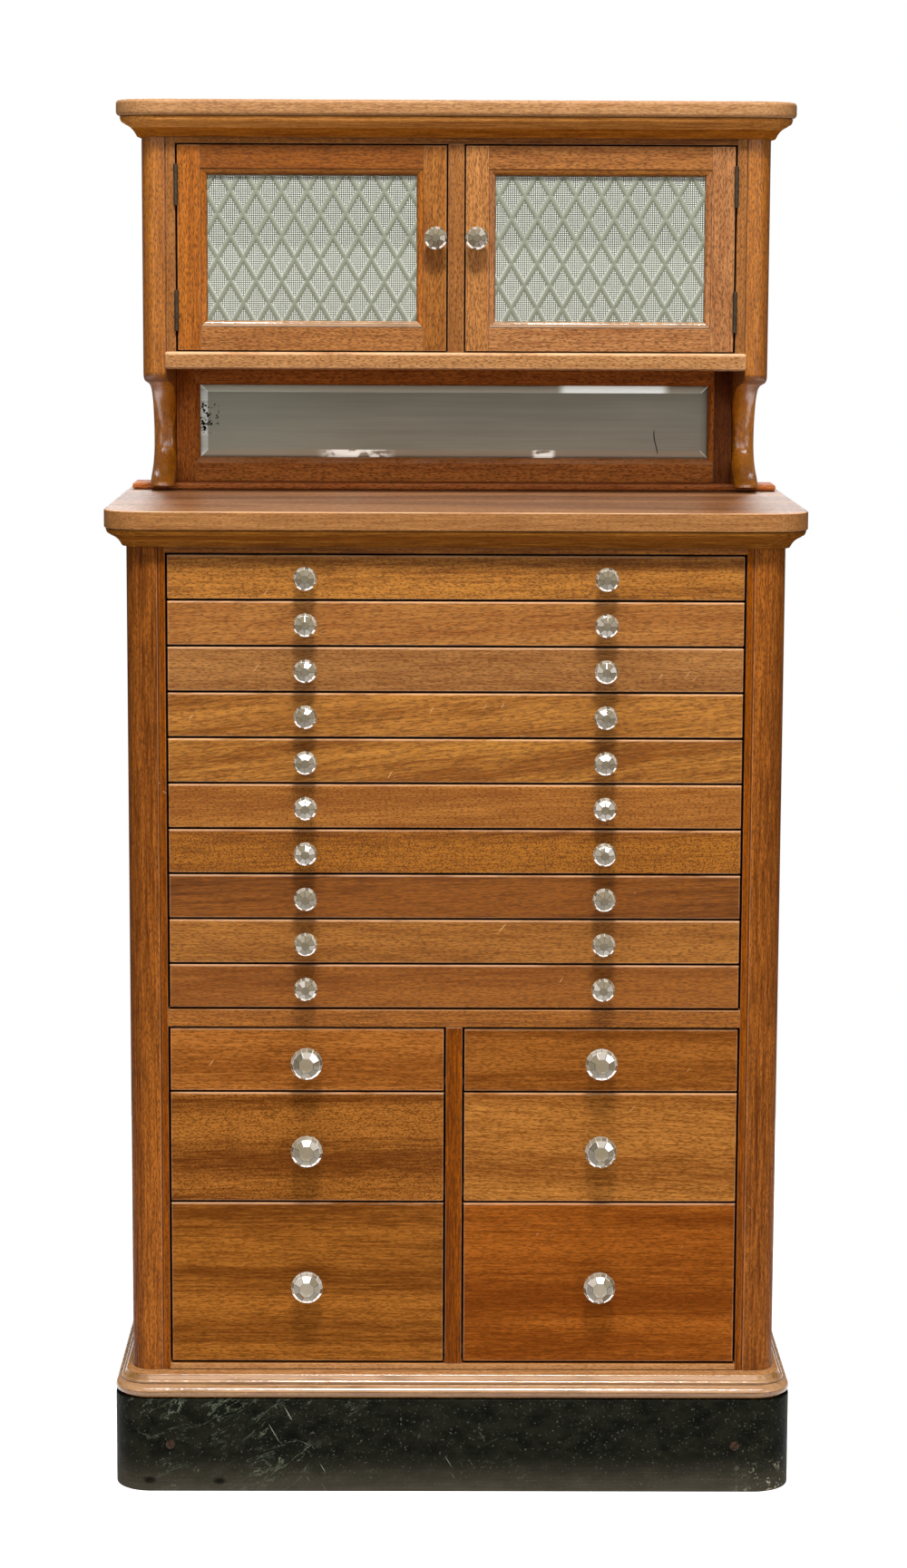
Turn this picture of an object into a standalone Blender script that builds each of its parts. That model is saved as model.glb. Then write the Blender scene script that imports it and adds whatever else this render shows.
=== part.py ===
"""Antique dental cabinet: a mahogany chest of ten instrument trays over six drawers on a black
plinth, with a worktop, a mirror niche and a two-door glazed cupboard standing at its back.

Metres, +Z up, front towards -Y. The origin is on the floor, under the middle of the whole cabinet.
"""

import math

import bmesh
import bpy

# Fits
SEAT = 0.0003            # joint between two pieces that rest on or against each other
GAP = 0.0018             # sight gap around drawers and doors
BOLT_CLEARANCE = 0.0004  # knob bolt in its hole, on the radius
OVERLAP = 0.004          # how deep a cutter passes a face, or one glued board runs into another

# Whole cabinet
CABINET_H = 1.5743       # the trays share what the other pieces leave of it

# Chest
OPENING_W = 0.645        # clear width between the front strips
STRIP_W = 0.0095         # flat strip beside the drawers
POST_W = 0.0345          # corner post outside the strip
POST_R = 0.022           # round on the post's outer edge
QUIRK = 0.0018           # square groove between strip and post
CASE_D = 0.400           # front frame to back board
FRAME_T = 0.030          # front frame, front to back
SIDE_T = 0.018
BACK_T = 0.008
PANEL_STILE = 0.055      # frame around the sunk side panel
PANEL_SINK = 0.006
BOTTOM_RAIL_H = 0.0075
MID_RAIL_H = 0.0199
TOP_RAIL_H = 0.0073
DIVIDER_T = 0.0186
RUNNER_H = 0.007         # ledge that each drawer slides on
RUNNER_SUPPORT = 0.008   # how far the ledge reaches under the drawer's side

# Plinth and base board
PLINTH_H = 0.109
PLINTH_T = 0.020
PLINTH_OUT = 0.0200      # how far it stands out past the chest
PLINTH_EASE = 0.002
BASE_H = 0.029
BASE_OUT = 0.0205
BASE_REEDS = 3
REED_TURNS = (-30, 0, 30, 60, 90)  # degrees round a reed, from below to its top
REED_R = 0.0045
REED_STEP_OUT = 0.0060
REED_STEP_UP = 0.0078

# Worktop
WORKTOP_MOULDING_H = 0.0200
WORKTOP_MOULDING_OUT = 0.0190
MOULDING_FOOT = 1 / 8    # a moulding's lower edge, as a share of how far its top stands out
WORKTOP_T = 0.0206
WORKTOP_OUT = 0.0225
WORKTOP_EASE = 0.004

# Drawers
TRAYS = 10
UPPER_DRAWER_H = 0.0724  # front heights
MIDDLE_DRAWER_H = 0.1264
LOWER_DRAWER_H = 0.1865
FRONT_T = 0.018
FRONT_SET_BACK = 0.002   # drawer fronts behind the frame
FRONT_EASE = 0.0015
SIDE_PLAY = 0.0015       # front board to opening, each side
BOX_INSET = 0.002        # drawer side inside the front's end
BOX_T = 0.009
BOX_BOTTOM_T = 0.005
BOX_TOP_DROP = 0.004     # box below the front's top edge
BOX_BACK_PLAY = 0.020    # drawer back to back board

# Knobs: eight-sided glass on a bolt
KNOB_SIDES = 8
SMALL_KNOB_D = 0.0265
SMALL_KNOB_REACH = 0.026
LARGE_KNOB_D = 0.0365
LARGE_KNOB_REACH = 0.033
TRAY_KNOB_X = 0.167
DOOR_KNOB_X = 0.0235
DOOR_KNOB_UP = 0.129     # above the door's lower edge
BOLT_R = 0.0023
NUT_R = 0.0050
NUT_T = 0.0030
KNOB_SHAPE = (           # shares of the reach and of the radius, from the table to the neck
    (1.00, 0.50),
    (0.72, 0.97),
    (0.55, 1.00),
    (0.22, 0.56),
    (0.10, 0.60),
)
KNOB_FOOT = 0.62         # share of the radius where it meets the board

# Cupboard and niche
UPPER_D = 0.194          # front frame to back, flush with the chest's back
UPPER_STRIP_W = 0.0135
UPPER_POST_W = 0.026
FOOT_STRIP_H = 0.008     # board that the niche stands on
FOOT_STRIP_D = 0.055
FOOT_STRIP_OUT = 0.0235  # past the cupboard's side
NICHE_H = 0.1398
SILL_H = 0.020
SILL_PROUD = 0.003
DOOR_H = 0.2337
UPPER_RAIL_H = 0.0047
UPPER_FRAME_T = 0.024
MULLION_T = 0.0186
SHELF_T = 0.010
SHELF_UP = 0.118         # above the sill
SHELF_D = 0.135
BRACKET_T = 0.028
BRACKET_R = 0.008
WAIST_BACK = 0.165       # bracket's narrowest place behind the cupboard's front
FOOT_BACK = 0.125        # bracket's foot behind the cupboard's front
KNEE_H = 0.063           # height over which the bracket sweeps back
KNEE_ROUND_H = 0.008     # height over which that sweep starts
FOOT_H = 0.036           # height over which the foot comes forward again

# Mirror
MIRROR_FRAME_T = 0.018
MIRROR_SIDE_W = 0.028
MIRROR_TOP_W = 0.024
MIRROR_BOTTOM_W = 0.029
MIRROR_LIP = 0.003       # slope on the frame's inner edge
MIRROR_T = 0.005
MIRROR_REBATE = 0.005
MIRROR_BEVEL_W = 0.011
MIRROR_BEVEL_D = 0.002

# Doors
DOOR_T = 0.020
DOOR_FLAT_W = 0.0265     # face of stile and rail
DOOR_BEVEL_W = 0.0075    # slope down to the glass
DOOR_BEVEL_D = 0.006
GLASS_T = 0.004
GLASS_REBATE = 0.006
HINGE_GAP = 0.0024
HINGE_LEN = 0.047
HINGE_R = 0.0025
HINGE_PROUD = 0.0029     # pin axis in front of the door's face
HINGE_LEAF_T = 0.0009
HINGE_LEAF_D = 0.015
HINGE_INSET = 0.022      # hinge end to the door's top or bottom edge

# Crown
CROWN_MOULDING_H = 0.0222
CROWN_MOULDING_OUT = 0.0240
CROWN_T = 0.0214
CROWN_OUT = 0.029
CROWN_EASE = 0.004

# Roundness
CORNER_STEPS = 5
MOULDING_STEPS = 6
EASE_STEPS = 2
HINGE_SIDES = 12

# Levels, from the floor up
drawer_heights = (LOWER_DRAWER_H, MIDDLE_DRAWER_H, UPPER_DRAWER_H)
below_trays = PLINTH_H + BASE_H + BOTTOM_RAIL_H + MID_RAIL_H
below_trays += GAP + sum(height + GAP for height in drawer_heights)
above_trays = TOP_RAIL_H + WORKTOP_MOULDING_H + WORKTOP_T + FOOT_STRIP_H + NICHE_H + SILL_H
above_trays += GAP + DOOR_H + GAP + UPPER_RAIL_H + SEAT + CROWN_MOULDING_H + CROWN_T
tray_h = (CABINET_H - below_trays - GAP - above_trays) / TRAYS - GAP
z_base = PLINTH_H
z_case = z_base + BASE_H
z_bottom = z_case + BOTTOM_RAIL_H
z_mid = z_bottom + GAP + sum(height + GAP for height in drawer_heights)
z_trays = z_mid + MID_RAIL_H
z_rail = z_trays + GAP + TRAYS * (tray_h + GAP)
z_worktop = z_rail + TOP_RAIL_H
z_strip = z_worktop + WORKTOP_MOULDING_H + WORKTOP_T
z_niche = z_strip + FOOT_STRIP_H
z_sill = z_niche + NICHE_H
z_doors = z_sill + SILL_H
z_upper_rail = z_doors + GAP + DOOR_H + GAP
z_crown = z_upper_rail + UPPER_RAIL_H

# Places across and from front to back
half_opening = OPENING_W / 2
half_case = half_opening + STRIP_W + POST_W
half_upper = half_opening + UPPER_STRIP_W + UPPER_POST_W
half_front = half_opening - SIDE_PLAY
half_box = half_front - BOX_INSET
case_inside = half_case - SIDE_T
upper_front = CASE_D - UPPER_D
door_front = upper_front + SEAT
hinge_x = half_opening - HINGE_GAP / 2
hinge_y = door_front - HINGE_PROUD
foremost = min(FRONT_SET_BACK - LARGE_KNOB_REACH, -WORKTOP_OUT, -BASE_OUT, -PLINTH_OUT)
middle_y = (foremost + CASE_D) / 2

for old in list(bpy.data.objects):
    bpy.data.objects.remove(old)


def closed(bm):
    """Turns all faces of a finished shape outwards."""
    bmesh.ops.recalc_face_normals(bm, faces=bm.faces)
    return bm


def box(x0, x1, y0, y1, z0, z1):
    bm = bmesh.new()
    bmesh.ops.create_cube(bm, size=1.0)
    bmesh.ops.scale(bm, vec=(x1 - x0, y1 - y0, z1 - z0), verts=bm.verts)
    bmesh.ops.translate(bm, vec=((x0 + x1) / 2, (y0 + y1) / 2, (z0 + z1) / 2), verts=bm.verts)
    return bm


def loft(loops):
    """A solid through closed loops of equally many points, flat at both ends."""
    bm = bmesh.new()
    rings = []
    for loop in loops:
        rings.append([bm.verts.new(point) for point in loop])
    count = len(rings[0])
    for ring, following in zip(rings, rings[1:]):
        for i in range(count):
            j = (i + 1) % count
            bm.faces.new((ring[i], ring[j], following[j], following[i]))
    bm.faces.new(rings[0])
    bm.faces.new(rings[-1])
    return closed(bm)


def combined(bm, operation, others):
    """The shape joined with, or cut by, each of the others in turn."""
    for other in others:
        pair = []
        for shape in (bm, other):
            mesh = bpy.data.meshes.new("shape")
            shape.to_mesh(mesh)
            shape.free()
            pair.append(bpy.data.objects.new("shape", mesh))
            bpy.context.scene.collection.objects.link(pair[-1])
        boolean = pair[0].modifiers.new("Boolean", "BOOLEAN")
        boolean.operation = operation
        boolean.object = pair[1]
        depsgraph = bpy.context.evaluated_depsgraph_get()
        result = bpy.data.meshes.new_from_object(pair[0].evaluated_get(depsgraph))
        bm = bmesh.new()
        bm.from_mesh(result)
        for used in pair:
            bpy.data.objects.remove(used)
    return bm


def joined(bm, *others):
    return combined(bm, "UNION", others)


def cut(bm, *others):
    return combined(bm, "DIFFERENCE", others)


def material(name, colour, roughness, metallic=0.0, transmission=0.0):
    made = bpy.data.materials.new(name)
    made.use_nodes = True
    shader = made.node_tree.nodes["Principled BSDF"]
    shader.inputs["Base Color"].default_value = (*colour, 1.0)
    shader.inputs["Roughness"].default_value = roughness
    shader.inputs["Metallic"].default_value = metallic
    shader.inputs["Transmission Weight"].default_value = transmission
    made.diffuse_color = (*colour, 1.0)
    return made


MAHOGANY = {"colour": (0.30, 0.115, 0.035), "roughness": 0.35}
DARK_MAHOGANY = {"colour": (0.20, 0.070, 0.025), "roughness": 0.35}
BLACK_PAINT = {"colour": (0.018, 0.020, 0.019), "roughness": 0.45}
CLEAR_GLASS = {"colour": (0.93, 0.95, 0.93), "roughness": 0.03, "transmission": 1.0}
PRESSED_GLASS = {"colour": (0.78, 0.82, 0.78), "roughness": 0.25, "transmission": 0.8}
SILVERED = {"colour": (0.70, 0.71, 0.70), "roughness": 0.05, "metallic": 1.0}
BRONZE = {"colour": (0.055, 0.045, 0.035), "roughness": 0.40, "metallic": 1.0}

cabinet = bpy.data.objects.new("cabinet_frame", None)
cabinet.location = (0, -middle_y, 0)
bpy.context.scene.collection.objects.link(cabinet)


def joint_empty(name, x, y, z):
    """A point on a moving piece's axis, which carries everything that moves with it."""
    empty = bpy.data.objects.new(name, None)
    empty.parent = cabinet
    empty.location = (x, y, z)
    bpy.context.scene.collection.objects.link(empty)
    return empty


def finish(name, bm, look, carrier=cabinet, smooth=False):
    """Makes the named object, with its origin at its carrier."""
    if carrier is not cabinet:
        bmesh.ops.translate(bm, vec=-carrier.location, verts=bm.verts)
    mesh = bpy.data.meshes.new(name)
    bm.to_mesh(mesh)
    bm.free()
    if smooth:
        mesh.shade_smooth()
        mesh.set_sharp_from_angle(angle=math.radians(35))
    mesh.materials.append(material(name, **look))
    obj = bpy.data.objects.new(name, mesh)
    obj.parent = carrier
    bpy.context.scene.collection.objects.link(obj)
    return obj


def plan(half_width, front, back, radius, z):
    """A level outline with two round front corners and two square back ones."""
    points = [(half_width, back, z)]
    for side in (1, -1):
        for i in range(CORNER_STEPS + 1):
            turn = math.radians(90) * i / CORNER_STEPS
            if side < 0:
                turn = math.radians(90) - turn
            x = half_width - radius + radius * math.cos(turn)
            y = front + radius - radius * math.sin(turn)
            points.append((side * x, y, z))
    points.append((-half_width, back, z))
    return points


def moulded(half_width, front, radius, profile):
    """A board whose front and end edges follow a profile of (stands out, level) points."""
    loops = []
    for out, z in profile:
        loops.append(plan(half_width + out, front - out, CASE_D, radius + out, z))
    return loft(loops)


def ogee(out_start, out_end, z, height):
    points = []
    for i in range(MOULDING_STEPS + 1):
        part = i / MOULDING_STEPS
        swell = (1 - math.cos(math.pi * part)) / 2
        points.append((out_start + (out_end - out_start) * swell, z + height * part))
    return points


def eased_edge(out, ease, z, thickness):
    points = []
    for centre, start in ((z + ease, -90), (z + thickness - ease, 0)):
        for i in range(EASE_STEPS + 1):
            turn = math.radians(start + 90 * i / EASE_STEPS)
            points.append((out - ease + ease * math.cos(turn), centre + ease * math.sin(turn)))
    return points


# Plinth: a black ring of boards with round front corners, open below
plinth = moulded(half_case, 0.0, POST_R, eased_edge(PLINTH_OUT, PLINTH_EASE, 0.0, PLINTH_H))
half_hollow = half_case + PLINTH_OUT - PLINTH_T
hollow = box(-half_hollow, half_hollow, PLINTH_T - PLINTH_OUT, CASE_D - PLINTH_T,
             -OVERLAP, PLINTH_H + OVERLAP)
finish("plinth", cut(plinth, hollow), BLACK_PAINT, smooth=True)

# Base board: its edge is a stack of reeds that steps in towards the chest
reeds = [(BASE_OUT - REED_R, z_base + SEAT)]
for reed in range(BASE_REEDS):
    for turn in REED_TURNS:
        angle = math.radians(turn)
        out = BASE_OUT - REED_R - reed * REED_STEP_OUT + REED_R * math.cos(angle)
        up = z_base + SEAT + REED_R + reed * REED_STEP_UP + REED_R * math.sin(angle)
        reeds.append((out, up))
reeds.append((0.0, z_case))
finish("base_board", moulded(half_case, 0.0, POST_R, reeds), MAHOGANY, smooth=True)


# Lower case: posts, strips, rails, sides, back, partitions and drawer ledges, glued into one
def drawer_levels(z, heights):
    """The lower edge of each front in a stack, bottom first."""
    levels = []
    for height in heights:
        levels.append(z + GAP)
        z += GAP + height
    return levels


tray_levels = drawer_levels(z_trays, [tray_h] * TRAYS)
deep_levels = drawer_levels(z_bottom, drawer_heights)
half_divider = DIVIDER_T / 2
half_deep_box = (half_front - half_divider - SIDE_PLAY) / 2 - BOX_INSET
deep_x = (half_opening + half_divider) / 2

body = loft([plan(half_case, 0.0, CASE_D, POST_R, z) for z in (z_case + SEAT, z_worktop - SEAT)])
bay_front = FRAME_T - OVERLAP
bay_back = CASE_D - BACK_T
spaces = [
    box(-half_opening, half_opening, -OVERLAP, FRAME_T, z_trays, z_rail),
    box(-case_inside, case_inside, bay_front, bay_back, z_trays, z_rail),
]
for side in (-1, 1):
    across = sorted((side * half_divider, side * half_opening))
    walls = sorted((side * half_divider, side * case_inside))
    spaces.append(box(*across, -OVERLAP, FRAME_T, z_bottom, z_mid))
    spaces.append(box(*walls, bay_front, bay_back, z_bottom, z_mid))
    quirk = sorted((side * (half_opening + STRIP_W), side * (half_opening + STRIP_W + QUIRK)))
    spaces.append(box(*quirk, -OVERLAP, QUIRK, z_case - OVERLAP, z_worktop + OVERLAP))
    sunk = sorted((side * (half_case - PANEL_SINK), side * (half_case + OVERLAP)))
    spaces.append(box(*sunk, POST_W + PANEL_STILE / 2, CASE_D - PANEL_STILE,
                      z_case + PANEL_STILE, z_worktop - PANEL_STILE))
body = cut(body, *spaces)
ledges = []
ledge_ends = [(level, half_box - RUNNER_SUPPORT, case_inside + OVERLAP) for level in tray_levels]
for level in deep_levels:
    ledge_ends.append((level, deep_x + half_deep_box - RUNNER_SUPPORT, case_inside + OVERLAP))
    ledge_ends.append((level, half_divider - OVERLAP / 2, deep_x - half_deep_box + RUNNER_SUPPORT))
for level, inner, outer in ledge_ends:
    for side in (-1, 1):
        ends = sorted((side * inner, side * outer))
        ledges.append(box(*ends, FRAME_T - OVERLAP / 2, bay_back + OVERLAP,
                          level, level + RUNNER_H))
finish("lower_case", joined(body, *ledges), MAHOGANY, smooth=True)

# Worktop: a thick board with a moulding glued under its front and ends
edge = [(0.0, z_worktop)]
edge += ogee(WORKTOP_MOULDING_OUT * MOULDING_FOOT, WORKTOP_MOULDING_OUT, z_worktop,
             WORKTOP_MOULDING_H)
edge += eased_edge(WORKTOP_OUT, WORKTOP_EASE, z_worktop + WORKTOP_MOULDING_H, WORKTOP_T)
finish("worktop", moulded(half_case, 0.0, POST_R, edge), MAHOGANY, smooth=True)


# Knobs and the drawers that they pull
def knob(name, x, face_y, z, board_t, diameter, reach, carrier):
    """Cut glass on a bolt through the board, with a nut behind it."""
    radius = diameter / 2
    stations = [(-share * reach, size * radius) for share, size in KNOB_SHAPE]
    stations += [
        (-SEAT, KNOB_FOOT * radius),
        (-SEAT, BOLT_R),
        (board_t + SEAT, BOLT_R),
        (board_t + SEAT, NUT_R),
        (board_t + SEAT + NUT_T, NUT_R),
    ]
    loops = []
    for along, size in stations:
        loop = []
        for i in range(KNOB_SIDES):
            turn = 2 * math.pi * (i + 0.5) / KNOB_SIDES
            loop.append((x + size * math.cos(turn), face_y + along, z + size * math.sin(turn)))
        loops.append(loop)
    finish(name, loft(loops), CLEAR_GLASS, carrier)


def bolt_hole(x, y0, y1, z):
    radius = BOLT_R + BOLT_CLEARANCE
    loops = []
    for y in (y0 - OVERLAP, y1 + OVERLAP):
        loop = []
        for i in range(KNOB_SIDES):
            turn = 2 * math.pi * (i + 0.5) / KNOB_SIDES
            loop.append((x + radius * math.cos(turn), y, z + radius * math.sin(turn)))
        loops.append(loop)
    return loft(loops)


def drawer(name, x, half_face, half_body, z, height, knobs, diameter, reach):
    """A front board on an open box, riding on the ledges, with its glass knobs."""
    face = FRONT_SET_BACK
    inner_face = face + FRONT_T
    middle = z + height / 2
    back = CASE_D - BACK_T - BOX_BACK_PLAY
    floor = z + RUNNER_H + SEAT
    carrier = joint_empty(name + "_slide", x, face, middle)
    front = loft([
        [(x + sx * (half_face - trim), y, middle + sz * (height / 2 - trim))
         for sx, sz in ((-1, -1), (1, -1), (1, 1), (-1, 1))]
        for y, trim in ((face, FRONT_EASE), (face + FRONT_EASE, 0.0), (inner_face, 0.0))
    ])
    tray = box(x - half_body, x + half_body, inner_face - OVERLAP, back,
               floor, z + height - BOX_TOP_DROP)
    inside = box(x - half_body + BOX_T, x + half_body - BOX_T, inner_face, back - BOX_T,
                 floor + BOX_BOTTOM_T, z + height + OVERLAP)
    holes = [bolt_hole(at, face, inner_face, middle) for _, at in knobs]
    finish(name, cut(joined(front, tray), inside, *holes), MAHOGANY, carrier)
    for knob_name, at in knobs:
        knob(knob_name, at, face, middle, FRONT_T, diameter, reach, carrier)


for number, level in enumerate(reversed(tray_levels), 1):
    tray_name = f"tray_{number:02d}"
    pair = ((tray_name + "_left_knob", -TRAY_KNOB_X), (tray_name + "_right_knob", TRAY_KNOB_X))
    drawer(tray_name, 0.0, half_front, half_box, level, tray_h, pair,
           SMALL_KNOB_D, SMALL_KNOB_REACH)

for level, height, row in zip(deep_levels, drawer_heights, ("lower", "middle", "upper")):
    for side, word in ((-1, "left"), (1, "right")):
        drawer_name = f"{word}_drawer_{row}"
        drawer(drawer_name, side * deep_x, half_deep_box + BOX_INSET, half_deep_box, level, height,
               ((drawer_name + "_knob", side * deep_x),), LARGE_KNOB_D, LARGE_KNOB_REACH)


# Upper case: foot strip, scrolled brackets, sill, cupboard walls, mullion, shelf and back as one
def bracket(side):
    """The cupboard's side carried down to the foot strip, swept back and forward in an S."""
    inner = half_upper - BRACKET_T
    z_low = z_niche - OVERLAP / 2
    z_high = z_sill + OVERLAP
    levels = [z_high]
    steps = 2 * MOULDING_STEPS
    levels += [z_sill - KNEE_H * i / steps for i in range(steps + 1)]
    levels += [z_niche + FOOT_H * (1 - i / MOULDING_STEPS) for i in range(MOULDING_STEPS + 1)]
    levels.append(z_low)
    loops = []
    for z in levels:
        down = min(max((z_sill - z) / KNEE_H, 0.0), 1.0)
        up = min(max((z_niche + FOOT_H - z) / FOOT_H, 0.0), 1.0)
        rounding = min(1.0, max(z_sill - z, 0.0) / KNEE_ROUND_H)
        back = WAIST_BACK * math.sin(math.pi / 2 * down) * rounding
        back -= (WAIST_BACK - FOOT_BACK) * (1 - math.cos(math.pi * up)) / 2
        radius = POST_R + (BRACKET_R - POST_R) * down
        y = upper_front + back
        loop = [(side * inner, CASE_D, z), (side * inner, y, z)]
        for i in range(CORNER_STEPS + 1):
            turn = math.radians(90) * i / CORNER_STEPS
            loop.append((side * (half_upper - radius + radius * math.sin(turn)),
                         y + radius - radius * math.cos(turn), z))
        loop.append((side * half_upper, CASE_D, z))
        loops.append(loop)
    return loft(loops)


half_inside = half_upper - SIDE_T
half_mullion = MULLION_T / 2
inside_front = upper_front + UPPER_FRAME_T
inside_back = CASE_D - BACK_T
upper = loft([plan(half_upper, upper_front, CASE_D, POST_R, z) for z in (z_sill, z_crown)])
rooms = [box(-half_inside, half_inside, inside_front, inside_back, z_doors, z_crown + OVERLAP)]
for side in (-1, 1):
    across = sorted((side * half_mullion, side * half_opening))
    rooms.append(box(*across, upper_front - OVERLAP, inside_front + OVERLAP, z_doors, z_upper_rail))
    quirk = sorted((side * (half_opening + UPPER_STRIP_W),
                    side * (half_opening + UPPER_STRIP_W + QUIRK)))
    rooms.append(box(*quirk, upper_front - OVERLAP, upper_front + QUIRK,
                     z_doors, z_crown + OVERLAP))
upper = cut(upper, *rooms)
half_strip = half_upper + FOOT_STRIP_OUT
half_niche = half_upper - BRACKET_T
shelf_z = z_doors + SHELF_UP
upper = joined(
    upper,
    bracket(-1),
    bracket(1),
    box(-half_strip, half_strip, CASE_D - FOOT_STRIP_D, CASE_D, z_strip + SEAT, z_niche),
    box(-half_niche - OVERLAP, half_niche + OVERLAP, inside_back, CASE_D,
        z_niche - OVERLAP / 2, z_sill + OVERLAP),
    box(-half_opening - UPPER_STRIP_W, half_opening + UPPER_STRIP_W,
        upper_front - SILL_PROUD, upper_front + OVERLAP, z_sill, z_doors),
    box(-half_inside - OVERLAP, half_inside + OVERLAP, inside_back - SHELF_D,
        inside_back + OVERLAP, shelf_z, shelf_z + SHELF_T),
)
finish("upper_case", upper, MAHOGANY, smooth=True)


# Mirror in its frame, at the back of the niche
def slope(x0, x1, z0, z1, y0, y1, spread):
    """A rectangular cutter that is wider at y0 by the spread on every side."""
    loops = []
    for y, more in ((y0, spread), (y1, 0.0)):
        loops.append([(x0 - more, y, z0 - more), (x1 + more, y, z0 - more),
                      (x1 + more, y, z1 + more), (x0 - more, y, z1 + more)])
    return loft(loops)


frame_half = half_niche - SEAT
frame_back = inside_back - SEAT
frame_front = frame_back - MIRROR_FRAME_T
mirror_half = half_niche - MIRROR_SIDE_W
mirror_z0 = z_niche + MIRROR_BOTTOM_W
mirror_z1 = z_sill - MIRROR_TOP_W
lip_y = frame_back - MIRROR_T - 2 * SEAT
frame = box(-frame_half, frame_half, frame_front, frame_back, z_niche + SEAT, z_sill - SEAT)
sight = box(-mirror_half, mirror_half, frame_front - OVERLAP, frame_back + OVERLAP,
            mirror_z0, mirror_z1)
sloped = slope(-mirror_half, mirror_half, mirror_z0, mirror_z1,
               frame_front - MIRROR_LIP, frame_front + MIRROR_LIP, 2 * MIRROR_LIP)
rebate = box(-mirror_half - MIRROR_REBATE, mirror_half + MIRROR_REBATE, lip_y,
             frame_back + OVERLAP, mirror_z0 - MIRROR_REBATE, mirror_z1 + MIRROR_REBATE)
finish("mirror_frame", cut(frame, sight, sloped, rebate), DARK_MAHOGANY)

pane_x = mirror_half + MIRROR_REBATE - SEAT
pane_z0 = mirror_z0 - MIRROR_REBATE + SEAT
pane_z1 = mirror_z1 + MIRROR_REBATE - SEAT
shoulder = MIRROR_REBATE - SEAT
pane = loft([
    [(sx * (pane_x - trim), y, pane_z0 + trim if sz < 0 else pane_z1 - trim)
     for sx, sz in ((-1, -1), (1, -1), (1, 1), (-1, 1))]
    for y, trim in ((lip_y + SEAT, MIRROR_BEVEL_W + shoulder),
                    (lip_y + SEAT + MIRROR_BEVEL_D, shoulder),
                    (lip_y + SEAT + MIRROR_BEVEL_D, 0.0),
                    (frame_back - SEAT, 0.0))
])
finish("mirror_glass", pane, SILVERED)

# Doors: a frame with a sloped inner edge, a pressed-glass pane, a knob and two hinges each
door_z0 = z_doors + GAP
door_z1 = door_z0 + DOOR_H
hinge_levels = {"upper": door_z1 - HINGE_INSET - HINGE_LEN, "lower": door_z0 + HINGE_INSET}


def hinge(side, z):
    """Knuckles and pin in front of the gap, with the leaf that is screwed to the strip's edge."""
    barrel = bmesh.new()
    bmesh.ops.create_cone(barrel, cap_ends=True, segments=HINGE_SIDES, radius1=HINGE_R,
                          radius2=HINGE_R, depth=HINGE_LEN)
    bmesh.ops.translate(barrel, vec=(side * hinge_x, hinge_y, z + HINGE_LEN / 2),
                        verts=barrel.verts)
    wall = half_opening - SEAT
    ends = sorted((side * wall, side * (wall - HINGE_LEAF_T)))
    leaf = box(*ends, hinge_y, door_front + HINGE_LEAF_D, z + SEAT, z + HINGE_LEN - SEAT)
    return joined(barrel, leaf)


for side, word in ((-1, "left"), (1, "right")):
    near = half_mullion + GAP
    far = half_opening - HINGE_GAP
    x0, x1 = sorted((side * near, side * far))
    door_back = door_front + DOOR_T
    sight_w = DOOR_FLAT_W + DOOR_BEVEL_W
    glass_y = door_front + DOOR_BEVEL_D
    carrier = joint_empty(f"{word}_door_pin", side * hinge_x, hinge_y, door_z0 + DOOR_H / 2)
    knob_x = side * DOOR_KNOB_X
    knob_z = door_z0 + DOOR_KNOB_UP
    frame = box(x0, x1, door_front, door_back, door_z0, door_z1)
    sight = box(x0 + sight_w, x1 - sight_w, door_front - OVERLAP, door_back + OVERLAP,
                door_z0 + sight_w, door_z1 - sight_w)
    sloped = slope(x0 + sight_w, x1 - sight_w, door_z0 + sight_w, door_z1 - sight_w,
                   door_front - DOOR_BEVEL_D, glass_y, 2 * DOOR_BEVEL_W)
    edge = sight_w - GLASS_REBATE
    rebate = box(x0 + edge, x1 - edge, glass_y + SEAT, door_back + OVERLAP,
                 door_z0 + edge, door_z1 - edge)
    bolt = bolt_hole(knob_x, door_front, door_back, knob_z)
    finish(f"{word}_door_frame", cut(frame, sight, sloped, rebate, bolt), MAHOGANY, carrier)
    edge += SEAT
    pane = box(x0 + edge, x1 - edge, glass_y + 2 * SEAT, glass_y + 2 * SEAT + GLASS_T,
               door_z0 + edge, door_z1 - edge)
    finish(f"{word}_door_glass", pane, PRESSED_GLASS, carrier)
    knob(f"{word}_door_knob", knob_x, door_front, knob_z, DOOR_T, SMALL_KNOB_D,
         SMALL_KNOB_REACH, carrier)
    for place, z in hinge_levels.items():
        finish(f"{word}_door_{place}_hinge", hinge(side, z), BRONZE, smooth=True)

# Crown: the top board over the cupboard, with its moulding
edge = [(0.0, z_crown + SEAT)]
edge += ogee(CROWN_MOULDING_OUT * MOULDING_FOOT, CROWN_MOULDING_OUT, z_crown + SEAT,
             CROWN_MOULDING_H)
edge += eased_edge(CROWN_OUT, CROWN_EASE, z_crown + CROWN_MOULDING_H + SEAT, CROWN_T)
finish("crown_board", moulded(half_upper, upper_front, POST_R, edge), MAHOGANY, smooth=True)
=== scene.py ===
import math

import bmesh
import bpy
from mathutils import Matrix, Vector
from mathutils.geometry import interpolate_bezier


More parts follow.
